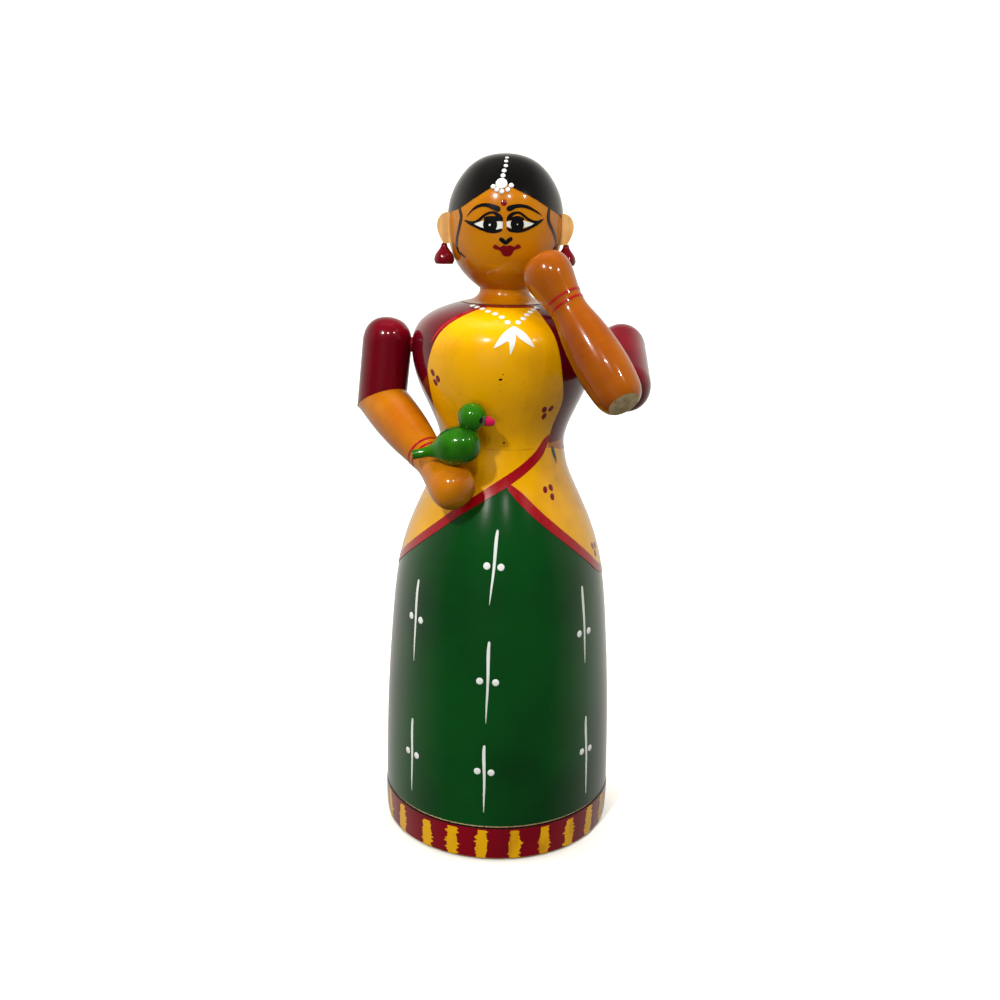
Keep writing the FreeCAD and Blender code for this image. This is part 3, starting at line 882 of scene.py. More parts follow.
@dataclass
class Figure:
    """The skirt and the bust, with the sari painted over both."""

    waist: float = 84.0
    waist_radius: float = 12.78
    seat: float = 111.6
    seat_radius: float = 8.6
    fullness: float = 18.69
    band_top: float = 7.3
    line_low: float = 7.54
    line_high: float = 7.76
    skirt_start: float = 8.0
    socket: float = 3.5
    socket_depth: float = 10.0
    neck_socket: float = 2.25
    neck_floor: float = 102.2
    lift: float = 0.02
    over: float = 0.06
    top: float = 0.10

    def build(self) -> None:
        """Builds the turnings and paints them."""
        skirt = self._skirt_turning()
        bust = self._bust_turning()
        lower, upper = skirt.surface(), bust.surface()
        whole = Surface(np.concatenate([lower.radii, upper.radii[1:]]),
                        np.concatenate([lower.heights, upper.heights[1:]]))
        self._skirt(skirt)
        self._bust(bust)
        self._sari(whole)
        self._flowers(whole)
        self._motifs(whole)
        self._hem(whole)
        self._necklace(whole)

    def _skirt_turning(self) -> Turning:
        """The outline of the skirt."""
        band = shaped((24.4, 0.5), (24.62, self.band_top), [(0, 0), (0.5, 0.3), (1, 0.6), (1, 1)])
        bell = shaped(
            (24.55, self.skirt_start), (self.waist_radius, self.waist),
            [(0, 0), (0.013, 0.222), (0.130, 0.490), (0.263, 0.706), (0.789, 0.875), (1, 0.943), (1, 1)])
        floor = self.waist - self.socket_depth
        return Turning("skirt_turning", [
            [(0, 0), (24.0, 0)], [(24.0, 0), (24.4, 0.5)], band,
            [(24.62, self.band_top), (24.25, self.line_low)],
            [(24.25, self.line_low), (24.25, self.line_high)],
            [(24.25, self.line_high), (24.55, self.skirt_start)], bell,
            [(self.waist_radius, self.waist), (self.socket, self.waist)],
            [(self.socket, self.waist), (self.socket, floor)], [(self.socket, floor), (0, floor)],
        ], slice(1, 7))

    def _bust_turning(self) -> Turning:
        """The outline of the bust."""
        lower = shaped((self.waist_radius, self.waist), (self.fullness, self.seat),
                       [(0, 0), (0, 0.096), (0.745, 0.381), (1, 0.615), (0.967, 0.834)])
        upper = shaped((self.fullness, self.waist), (self.seat_radius, self.seat), [(0.46, 0.951), (1, 1)])
        ceiling = self.waist + self.socket_depth
        return Turning("bust_turning", [
            [(0, ceiling), (self.socket, ceiling)], [(self.socket, ceiling), (self.socket, self.waist)],
            [(self.socket, self.waist), (self.waist_radius, self.waist)], lower + upper,
            [(self.seat_radius, self.seat), (self.neck_socket, self.seat)],
            [(self.neck_socket, self.seat), (self.neck_socket, self.neck_floor)],
            [(self.neck_socket, self.neck_floor), (0, self.neck_floor)],
        ], slice(3, 4))

    def _skirt(self, turning: Turning) -> None:
        """Spins the skirt and lacquers its bands, with painted shade in brown on the bevel just above the hem
        band.
        """
        piece = turning.spin()
        dress(piece, turning.lacquered(Tin.GREEN), turning.lacquered(Tin.HEM),
              mixed(Tin.RAW), turning.lacquered(Tin.SKIN), mixed(Tin.BROWN))
        for face in piece.data.polygons:
            height = face.center.z / MM
            radius = math.hypot(face.center.x, face.center.y) / MM
            if height < 0.3 or radius < self.waist_radius - 0.4:
                face.material_index = 2
            elif height < self.band_top + 0.04:
                face.material_index = 1
            # The up-facing bevel between the hem band and the raw line gets the brown line paint: painted
            # shade in the groove.
            elif height < self.line_low - 0.02:
                face.material_index = 4
            elif height < self.line_high + 0.02:
                face.material_index = 2
            elif height > self.waist - 1.6:
                face.material_index = 3
        keep(piece, "figure", "skirt_lacquer", "skirt")

    def _bust(self, turning: Turning) -> None:
        """Spins the bust and lacquers its blouse."""
        piece = turning.spin()
        dress(piece, turning.lacquered(Tin.MAROON), turning.lacquered(Tin.SKIN), mixed(Tin.RAW))
        for face in piece.data.polygons:
            height = face.center.z / MM
            radius = math.hypot(face.center.x, face.center.y) / MM
            if radius < self.seat_radius - 0.05:
                face.material_index = 2
            elif height < self.waist + 0.9:
                face.material_index = 1
        keep(piece, "figure", "blouse_lacquer", "bust")

    def _sari(self, whole: Surface) -> None:
        """Paints the wrap, the front drape, its tail down the back and their borders."""
        yellow = SariPaint("sari_yellow", self.waist * MM).material()
        red = mixed(Tin.RED)
        hem = [(-180, 51.5), (-150, 52), (-115, 54.2), (-92, 57.2), (-76.5, 60.2), (-60, 64.3),
               (-45, 68.2), (-30, 72.0), (-13, 75.3), (4, 77.6), (14, 75.4), (28, 71.2), (42.6, 67),
               (62, 61.2), (72, 58.6), (92, 56), (115, 53.8), (150, 52), (180, 51.5)]
        open_side = {62: 83.1, 72: 82.7, 92: 82.7, 115: 83.3}
        waist = [(angle, open_side.get(angle, self.waist - 0.02)) for angle, _ in hem]
        brush = Brush(whole, self.lift)
        wrap = dress(brush.area("sari_wrap", hem, waist, 144, 26, ring=True), yellow)
        keep(wrap, "figure", "blouse_lacquer")
        left = [(-22, 111.15), (-33, 109.7), (-42.7, 106.8), (-48.6, 102.8), (-53, 99.6),
                (-55.5, 96), (-60.2, 92.7), (-70.8, 87.4), (-82, 84.02)]
        right = [(34, 111.15), (31, 109.2), (33, 106), (35.5, 102.5), (38.5, 99), (42, 96.2),
                 (45.5, 92.8), (44.8, 88.5), (46, 84.02)]
        drape = dress(brush.area("sari_drape", left, right, 72, 48), yellow)
        keep(drape, "figure", "blouse_lacquer")
        near = [(104, 111.1), (112, 108), (120, 103), (126, 97), (130, 91), (133, 86), (134, 84.02)]
        far = [(150, 111.1), (158, 108), (165, 103), (171, 97), (177, 91), (182, 86), (184, 84.02)]
        tail = dress(brush.area("sari_tail", near, far, 48, 24), yellow)
        keep(tail, "figure", "blouse_lacquer")
        edge = Brush(whole, self.over)
        long_side = [(45.5, 86.7, 0.6), (42, 85.4, 1.6), (35, 83.0, 1.9), (20.6, 80.4, 1.9), (0.6, 77.4, 2.0),
                     (-13, 75.2, 1.9), (-30, 71.9, 1.9), (-45, 68.1, 1.9), (-60, 64.2, 1.9),
                     (-76.5, 60.1, 1.8), (-92, 57.1, 1.8), (-115, 54.1, 1.8), (-150, 51.9, 1.8),
                     (-182, 51.4, 1.8)]
        short_side = [(5, 77.2, 1.0), (14, 75.0, 1.9), (28, 70.9, 2.0), (42.6, 66.7, 2.0), (62, 61.0, 1.9),
                      (72, 58.4, 1.8), (92, 55.8, 1.8), (115, 53.7, 1.8), (150, 51.9, 1.8), (181, 51.4, 1.8)]
        tail_sides = [[(angle, height, 1.3) for angle, height in side] for side in (near, far)]
        shoulder = [(-14, 111.35, 0.4), (-27, 110.85, 0.9), (-36.5, 109.6, 1.1), (-43.6, 107.5, 0.9),
                    (-48.6, 104.6, 0.3)]
        neckline = [(-26, 111.15, 0.3), (-10, 111.28, 0.5), (8, 111.3, 0.55), (24, 111.25, 0.5),
                    (40, 111.1, 0.3)]
        borders = [edge.stroke("border_long", long_side, 150, 5),
                   edge.stroke("border_short", short_side, 110, 5),
                   edge.stroke("border_near", tail_sides[0], 40, 4),
                   edge.stroke("border_far", tail_sides[1], 40, 4),
                   edge.stroke("border_shoulder", shoulder, 36, 4),
                   edge.stroke("border_neck", neckline, 40, 4)]
        lay("sari_borders", borders, red, "figure", "blouse_lacquer")
        gap = Brush(whole, self.over).stroke(
            "skirt_gap", [(51, 83.9, 0.5), (53.5, 82.6, 1.0), (56, 81.2, 0.6), (56, 80.2, 0.1)], 20)
        keep(dress(gap, mixed(Tin.LEAF)), "figure", "skirt_lacquer")
        chips = [edge.drop("chip_low", 1.7, 85.5, 0.45, 0.6, 0.02),
                 edge.drop("chip_mid", -1.4, 98.6, 0.75, 0.5, 0.02, 20),
                 edge.drop("chip_high", 0.2, 99.6, 0.3, 0.3, 0.02)]
        lay("paint_chips", chips, mixed(Tin.BROWN), "figure", "blouse_lacquer")

    def _flowers(self, whole: Surface) -> None:
        """Dots the small flowers on the sari."""
        brush = Brush(whole, self.top)
        flowers = [[(-48.4, 98.9, 15), (-44.4, 97.8, 0), (-47.6, 97.0, 20)],
                   [(30.8, 92.3, 20), (36.4, 92.4, -25), (32.3, 90.9, -10)],
                   [(36.5, 75.9, -15), (42.6, 76.1, 10), (41.6, 74.4, -20)],
                   [(70, 62.9, 10), (75, 62.6, -10), (72, 61.3, 0)],
                   [(-116, 66.2, 10), (-111, 66.0, -10), (-114, 64.6, 0)],
                   [(-86, 76.2, 0), (-79, 75.9, 15), (-83, 74.5, -10)],
                   [(-158, 63.2, 10), (-153, 63.5, -20), (-156, 61.9, 0)],
                   [(116, 70.2, 10), (122, 70.4, -20), (119, 68.8, 0)],
                   [(160, 74.3, 10), (166, 74.5, -20), (163, 72.9, 0)],
                   [(143, 103.2, 10), (147, 103.4, -20), (145, 101.9, 0)],
                   [(155, 93.2, 10), (160, 93.4, -20), (157, 91.9, 0)]]
        drops = [brush.drop("petal", angle, height, 1.1, 1.45, 0.05, turn)
                 for flower in flowers for angle, height, turn in flower]
        lay("sari_flowers", drops, mixed(Tin.DOT_RED), "figure", "blouse_lacquer")

    def _motifs(self, whole: Surface) -> None:
        """Paints the white stems with their pairs of dots on the skirt."""
        brush = Brush(whole, self.lift)
        stems = [(-1.8, 69.2, -5.1, 55.0, 62.4), (-4.7, 47.8, -5.6, 30.6, 39.4),
                 (-6.1, 26.0, -5.9, 11.0, 20.1),
                 (-49.2, 57.5, -47.8, 40.4, 49.5), (-46.8, 28.1, -46.4, 11.5, 20.2),
                 (50.0, 56.6, 49.4, 40.4, 46.9), (49.6, 28.7, 50.4, 10.8, 21.0),
                 (101.0, 48.5, 100.2, 32.0, 40.2), (100.6, 25.2, 101.2, 10.6, 18.0),
                 (152.4, 45.5, 151.4, 30.0, 37.6), (151.8, 24.0, 152.6, 10.4, 17.0),
                 (-156.8, 47.0, -157.6, 31.0, 39.0), (-157.2, 25.0, -156.4, 10.6, 18.2),
                 (-101.6, 49.5, -102.4, 33.0, 41.2), (-102.0, 27.0, -101.2, 11.0, 19.4)]
        pieces = []
        for start, high, end, low, middle in stems:
            line = [(start, high, 0.46), (start * 0.84 + end * 0.16 - 0.2, high * 0.84 + low * 0.16, 0.66),
                    ((start + end) / 2 + 0.15, (high + low) / 2, 0.52),
                    (start * 0.2 + end * 0.8, high * 0.2 + low * 0.8, 0.34),
                    (end, low, 0.08)]
            pieces.append(brush.stroke("stem", line, 24, 4))
            share = (high - middle) / (high - low)
            centre = start + (end - start) * share
            for side in (-1, 1):
                aside = 3.9 if middle > 30 else 3.3
                pieces.append(brush.drop("bead", centre + side * aside, middle - side * 0.08, 1.4, 1.45,
                                         0.10))
        lay("skirt_motifs", pieces, mixed(Tin.WHITE), "figure", "skirt_lacquer")

    def _hem(self, whole: Surface) -> None:
        """Brushes the ragged yellow bars on the hem band."""
        brush = Brush(whole, self.lift)
        hand = random.Random(11)
        bars = [-70, -54.6, -36.1, -21.7, -7.0, 9.0, 24.2, 38.9, 53.6, 68.5, 84, 98, 112, 125, 139,
                154, 169, -176, -161, -146, -131, -115, -100, -85]
        pieces = []
        for angle in bars:
            high = hand.uniform(6.5, 7.25)
            lean = hand.uniform(-0.5, 0.5)
            edges: list[list[Mark]] = [[], []]
            levels = 22
            for level in range(levels + 1):
                share = level / levels
                height = 0.35 + (high - 0.35) * share
                swell = 0.72 + 0.28 * math.sin(math.pi * min(share * 1.2, 1))
                for edge, side in zip(edges, (-1, 1)):
                    wobble = hand.choice([0.0, 0.1, 0.3, 0.6, 1.0]) * side * hand.random()
                    half = 2.6 * swell if 0 < level < levels else 1.3
                    edge.append((angle + lean * share + side * half + wobble * 2.2, height))
            pieces.append(brush.area("bar", edges[0], edges[1], 44, 6))
        lay("hem_bars", pieces, mixed(Tin.HEM_YELLOW), "figure", "skirt_lacquer")

    def _necklace(self, whole: Surface) -> None:
        """Dots the necklace and paints its pendant leaves."""
        brush = Brush(whole, self.top)
        beads = [(-38, 111.25), (-30, 111.1), (-22, 110.9), (-14.5, 110.55), (-7.4, 110.2), (-1.6, 109.7),
                 (2.6, 108.9), (10.2, 108.9), (14.6, 109.5), (19.2, 110.1), (24.4, 110.5), (30, 110.85),
                 (37, 111.1)]
        pieces = [brush.drop("bead", angle, height, 1.15, 1.15, 0.14) for angle, height in beads]
        leaves = [[(6.4, 108.2, 0.3), (2.8, 106.95, 1.5), (-1.5, 105.65, 1.2), (-5.6, 104.4, 0.1)],
                  [(6.3, 107.9, 0.4), (5.4, 106.3, 1.15), (4.8, 104.8, 0.9), (4.0, 103.3, 0.1)],
                  [(6.4, 108.2, 0.3), (10.0, 107.05, 1.5), (14.3, 105.85, 1.2), (18.2, 104.6, 0.1)]]
        pieces += [brush.stroke("leaf", leaf, 24, 6) for leaf in leaves]
        lay("necklace", pieces, mixed(Tin.WHITE), "figure", "blouse_lacquer")


@dataclass
class Head:
    """The head in one turning with its neck, its painted hair and face, bun and earrings."""

    base: float = 111.68
    neck_top: float = 114.28
    crown: float = 139.70
    fullness: float = 11.65
    neck_radius: float = 4.93
    flare_radius: float = 8.6
    socket: float = 2.2
    socket_end: float = 123.28
    ear_bottom: float = 122.8
    earring_height: float = 3.9
    earring_radius: float = 2.0
    earring_neck: float = 0.55
    jaw_share: float = 0.87
    ear_forward: float = 2.4
    bun_start: float = 9.82
    bun_level: float = 125.5
    bun_radius: float = 5.0
    bun_length: float = 6.6

    def build(self) -> None:
        """Builds the head and paints it."""
        flare = shaped((self.flare_radius, self.base), (self.neck_radius, self.neck_top),
                       [(0, 0), (0.5, 0.09), (0.92, 0.41), (1, 0.74), (1, 1)])
        ball = shaped((0, self.neck_top), (self.fullness, self.crown),
                      [(0.7, 0.09), (0.962, 0.257), (1, 0.582), (0.827, 0.821), (0.418, 1), (0, 1)])
        turning = Turning("head_turning", [
            [(0, self.socket_end), (self.socket, self.socket_end)],
            [(self.socket, self.socket_end), (self.socket, self.base)],
            [(self.socket, self.base), (self.flare_radius, self.base)],
            flare, [(self.neck_radius, self.neck_top)] + ball,
        ], slice(3, 5))
        piece = dress(turning.spin(), turning.lacquered(Tin.SKIN))
        keep(piece, "head", "skin_lacquer", "head")
        surface = turning.surface()
        self._hair(surface)
        self._face(surface)
        self._jewels(surface)
        self._bun()
        for side, sign in (("right", -1), ("left", 1)):
            self._earring(side, sign)

    def _hair(self, surface: Surface) -> None:
        """Lacquers the hair down to its parting and the nape, with a lock before each ear."""
        line = [(-180, 118.2), (-150, 118.7), (-122, 120.6), (-102, 123.6), (-87, 126.6), (-73, 128.5),
                (-51, 129.4), (-33, 131.2), (-18, 132.9), (-5.5, 134.1), (8, 133.1), (24, 131.8),
                (47, 129.7), (68, 128.2), (87, 126.4), (102, 123.6), (122, 120.6), (150, 118.7), (180, 118.2)]
        crown = [(angle, self.crown) for angle, _ in line]
        cap = Brush(surface, 0.02, 0.06).area("hair", line, crown, 180, 44, ring=True)
        keep(dress(cap, mixed(Tin.HAIR, Vector((0, 0, 0)), UP, "_upright")), "head", "hair_lacquer")
        locks = [[(-52.5, 129.6, 0.6), (-48.4, 128.3, 0.76), (-48.2, 127.2, 0.74), (-52, 125.2, 0.7),
                  (-56, 123.8, 0.7),
                  (-58.6, 122.3, 0.68), (-55.6, 121.2, 0.6), (-47.6, 120.4, 0.25)],
                 [(47.8, 129.8, 0.6), (45.4, 128.2, 0.8), (46.6, 127, 0.78), (51, 125.9, 0.7),
                  (57, 124.6, 0.62),
                  (62.2, 123.4, 0.58), (61.5, 122.5, 0.5), (56.5, 121.8, 0.2)]]
        brush = Brush(surface, 0.03)
        pieces = [brush.stroke("lock", lock, 60, 4) for lock in locks]
        lay("side_locks", pieces, mixed(Tin.BROWN), "head", "hair_lacquer")

    def _face(self, surface: Surface) -> None:
        """Paints the brows, eyes, nose, lips and the mark on the brow."""
        line = Brush(surface, 0.05, 0.04)
        black = [
            [(-40, 127.9, 0.05), (-35, 128.9, 0.3), (-29.6, 129.6, 0.52), (-23.3, 130, 0.6),
             (-17.2, 129.95, 0.74),
             (-11.2, 129.6, 1.0), (-7.1, 129.3, 1.05), (-5.1, 129.15, 0.9)],
            [(0.9, 129.2, 0.85), (4.2, 129.5, 1.0), (9.3, 129.85, 0.75), (14.5, 129.95, 0.65),
             (20.5, 129.8, 0.6),
             (26, 129.4, 0.47), (31.8, 128.85, 0.33), (36.9, 128.3, 0.05)],
            [(-43.3, 127.25, 0.1), (-36.8, 126.75, 0.55), (-30, 126.2, 0.5), (-22.4, 125.65, 0.5),
             (-16.5, 125.35, 0.56),
             (-10.7, 125.28, 0.58), (-5.6, 125.5, 0.55), (-3, 125.75, 0.4)],
            [(-43.3, 127.25, 0.1), (-33.3, 126.85, 0.4), (-26.8, 127.2, 0.5), (-22.6, 127.85, 0.5),
             (-18.5, 128.4, 0.45),
             (-13.3, 128.7, 0.45), (-9.8, 128.55, 0.55), (-6.4, 128, 0.95), (-3.9, 127.4, 0.8),
             (-3.1, 127.15, 0.3)],
            [(-21, 127.5, 0.36), (-17.8, 127.7, 0.55), (-13.1, 127.75, 0.62), (-8.6, 127.6, 0.8),
             (-5.7, 127.2, 0.5)],
            [(1.2, 126, 0.36), (4.4, 125.6, 0.56), (9.5, 125.43, 0.56), (15.2, 125.5, 0.56),
             (20.5, 125.8, 0.5),
             (26.5, 126.35, 0.55), (31.6, 126.9, 0.62), (36.4, 127.4, 0.38), (39.4, 127.7, 0.05)],
            [(1.3, 127.2, 0.24), (2.9, 127.8, 0.65), (5.9, 128.4, 0.66), (11, 128.75, 0.45),
             (15, 128.55, 0.45),
             (18.5, 128.05, 0.45), (22.1, 127.55, 0.5), (27.1, 127.2, 0.45), (32.3, 127.1, 0.5),
             (37.9, 127.5, 0.24)],
            [(3.1, 127.5, 0.45), (7.6, 127.7, 0.66), (12.7, 127.8, 0.66), (17.9, 127.5, 0.36)],
            [(-5.8, 124.05, 0.7), (-2.8, 123.75, 0.78), (0.3, 123.3, 0.7), (3.4, 123.75, 0.75),
             (6.8, 124.2, 0.66)],
        ]
        pieces = [line.stroke("line", marks, 14 * len(marks) // 2, 5) for marks in black]
        pieces += [line.drop("iris", -14.7, 126.5, 2.8, 2.85, 0.05),
                   line.drop("iris", 11.2, 126.62, 2.6, 2.65, 0.05)]
        lay("face_lines", pieces, mixed(Tin.BLACK), "head", "hair_lacquer")
        under = Brush(surface, 0.02, 0.03)
        corners = [([(-32, 126.5), (-26, 126.95), (-19, 127.3)],
                    [(-32, 126.45), (-26, 126.1), (-19, 125.8)], 16),
                   ([(-10, 127.25), (-5.5, 127.2), (-2.75, 127.05)],
                    [(-10, 125.6), (-5.5, 125.65), (-2.7, 125.85)], 12),
                   ([(28.6, 126.75), (22, 127.1), (15, 127.4)],
                    [(28.6, 126.7), (22, 126.3), (15, 125.9)], 16),
                   ([(0.9, 127.05), (4, 127.2), (8, 127.3)],
                    [(1.1, 126.3), (4, 126.0), (8, 125.9)], 12)]
        whites = [under.area("white", upper, lower, columns, 8) for upper, lower, columns in corners]
        # The glints are painted highlights: small white drops on the irises, joined with the eye whites.
        glint = Brush(surface, 0.10)
        whites += [glint.drop("glint", -14.9, 126.45, 0.42, rise=0.03),
                   glint.drop("glint", 11.1, 126.62, 0.24, rise=0.03)]
        lay("eye_whites", whites, mixed(Tin.WHITE), "head", "skin_lacquer")
        top = [(-12.3, 122.5), (-10, 122.95), (-7.6, 122.75), (-5, 122.5), (-1.8, 122.85), (1.4, 122.7),
               (4.4, 122.85),
               (7, 122.7), (9.3, 122.6), (11.6, 123.0), (14.2, 122.95), (16, 122.5)]
        low = [(-12.3, 122.45), (-10.4, 122.1), (-7.4, 122.0), (-5, 121.8), (-2.6, 121.1), (0, 120.85),
               (3.4, 120.85),
               (6.8, 121.15), (8.4, 121.8), (10.6, 122.1), (13.6, 122.25), (16, 122.45)]
        mouth = Brush(surface, 0.03, 0.06).area("lips", top, low, 60, 10)
        mark = Brush(surface, 0.03).drop("brow_mark", -1.9, 130.45, 1.1, 1.15, 0.08)
        lay("lips_and_mark", [mouth, mark], mixed(Tin.DOT_RED), "head", "skin_lacquer")

    def _jewels(self, surface: Surface) -> None:
        """Dots the white jewel that hangs down the parting."""
        brush = Brush(surface, 0.09)
        beads = [(1.0, 138.62, 0.72), (-0.6, 137.95, 0.78), (-0.8, 137.1, 0.82), (-2.8, 136.2, 0.9),
                 (-3.9, 135.3, 0.92),
                 (-5.1, 133.9, 2.2), (-13.9, 133.3, 0.95), (-9.6, 132.75, 0.9), (-4.2, 132.45, 0.9),
                 (1.8, 132.8, 0.9),
                 (5.6, 133.55, 0.95)]
        drops = [brush.drop("bead", angle, height, width, rise=0.16) for angle, height, width in beads]
        lay("parting_jewel", drops, mixed(Tin.WHITE), "head", "hair_lacquer")

    def _bun(self) -> None:
        """Spins the knot of hair."""
        radius, length = self.bun_radius, self.bun_length
        end = [(radius * 0.8, 0), (radius * 1.05, length * 0.25), (radius * 1.05, length * 0.75),
               (radius * 0.7, length), (radius * 0.3, length), (0, length)]
        turning = Turning("bun_turning", [[(0, 0), (radius * 0.8, 0)], end], slice(1, 2),
                          Vector((0, self.bun_start, self.bun_level)), Vector((0, 1, 0)))
        keep(dress(turning.spin(), turning.lacquered(Tin.HAIR)), "head", "hair_lacquer", "hair_bun")

    def _earring(self, side: str, sign: int) -> None:
        """Spins an earring."""
        wide, narrow, high = self.earring_radius, self.earring_neck, self.earring_height
        bell = [(wide, high * 0.16), (wide, high * 0.32), (wide * 0.80, high * 0.58),
                (narrow * 1.1, high * 0.80), (narrow, high)]
        offset = math.sqrt((self.fullness * self.jaw_share + wide) ** 2 - self.ear_forward ** 2)
        turning = Turning(f"earring_{side}_turning", [
            [(0, 0), (wide * 0.86, 0)], [(wide * 0.86, 0), (wide, high * 0.16)], bell,
            [(narrow, high), (0, high)]],
            slice(2, 3), Vector((sign * offset, -self.ear_forward, self.ear_bottom - high)), spokes=96)
        keep(dress(turning.spin(), turning.lacquered(Tin.MAROON)), "head", "maroon_lacquer",
             f"earring_{side}")


@dataclass
class Arm:
    """A sleeve and a forearm with its closed hand, each turned, sawn or rounded at the elbow."""

    side: str
    sleeve_end: Vector
    sleeve_top: Vector
    sleeve_length: float
    sleeve_radius: float
    elbow: Vector
    hand: Vector
    length: float
    radius: float
    wrist: float
    grip: float
    rounded: bool
    bangles: tuple[float, ...]
    spare: float = 0.8
    flat_facing: Vector = field(default_factory=lambda: Vector((0.365, -0.689, -0.626)))
    flat_distance: float = 4.1

    @property
    def body(self) -> str:
        """The CAD body the arm is."""
        return f"{self.side}_arm"

    def build(self) -> None:
        """Builds the sleeve, the forearm and its bangles."""
        self._sleeve()
        self._forearm()

    def _mitre(self) -> Vector:
        """The direction square to the elbow's saw cut."""
        down = (self.sleeve_end - self.sleeve_top).normalized()
        out = (self.hand - self.elbow).normalized()
        return (down + out).normalized()

    def _sleeve(self) -> None:
        """Spins the sleeve."""
        radius = self.sleeve_radius
        along = (self.sleeve_top - self.sleeve_end).normalized()
        spare = radius if self.rounded else radius * self.spare
        total = self.sleeve_length + spare
        dome = [(radius, total - radius * 1.1), (radius, total - radius * 0.3), (radius * 0.55, total),
                (0, total)]
        if self.rounded:
            start = [[(0, 0), (radius * 0.5, 0), (radius, radius * 0.3), (radius, radius * 1.1)],
                     [(radius, radius * 1.1), dome[0]]]
        else:
            start = [[(0, 0), (radius, 0)], [(radius, 0), dome[0]]]
        turning = Turning(f"sleeve_{self.side}", start + [dome], slice(len(start), len(start) + 1),
                          self.sleeve_end - along * spare, along)
        piece = dress(turning.spin(), turning.lacquered(Tin.MAROON))
        if not self.rounded:
            saw(piece, self.sleeve_end * MM, self._mitre())
        keep(piece, self.body, "maroon_lacquer", f"upper_arm_{self.side}")

    def _forearm(self) -> None:
        """Spins the forearm and hand, cuts the elbow and lines the wrist."""
        radius, wrist, grip, reach = self.radius, self.wrist, self.grip, self.length
        along = (self.hand - self.elbow).normalized()
        spare = radius if self.rounded else radius * self.spare
        tip = reach + spare
        start = radius * (0.97 if self.rounded else 1.0)
        arm = [(start, spare), (radius * 1.03, spare + reach * 0.12), (radius, spare + reach * 0.26),
               (radius * 0.87, spare + reach * 0.45), (wrist * 0.9, tip - grip * 2.54),
               (grip * 0.9, tip - grip * 1.58),
               (grip * 1.14, tip - grip * 0.62), (grip * 0.72, tip), (0, tip)]
        if self.rounded:
            runs = [[(0, 0), (radius * 0.44, 0), (radius * 0.88, radius * 0.32)] + arm]
        else:
            runs = [[(0, 0), (radius, 0)], [(radius, 0), (radius, spare)], arm]
        turning = Turning(f"forearm_{self.side}_turning", runs, slice(len(runs) - 1, len(runs)),
                          self.elbow - along * spare, along)
        # The left forearm takes the darker, redder skin lacquer: partly its own tint, partly painted shade.
        tin = Tin.SKIN if self.side == "right" else Tin.DEEP_SKIN
        piece = dress(turning.spin(), turning.lacquered(tin), mixed(Tin.RAW))
        point = (self.elbow + self.flat_facing * self.flat_distance) if self.rounded else self.elbow
        direction = self.flat_facing.normalized() if self.rounded else -self._mitre()
        saw(piece, point * MM, direction)
        for face in piece.data.polygons:
            if face.normal.dot(direction) > 0.999 and abs((face.center - point * MM).dot(direction)) < 2e-6:
                face.material_index = 1
        keep(piece, self.body, "skin_lacquer", f"forearm_{self.side}")
        brush = Brush(turning.surface(), 0.02)
        rings = [brush.stroke("bangle", [(turn, spare + way + 0.12 * math.sin(math.radians(turn)), 0.42)
                                         for turn in range(0, 361, 45)], 96, 4, False, True)
                 for way in self.bangles]
        lay(f"bangles_{self.side}", rings, mixed(Tin.RED), self.body, "skin_lacquer")


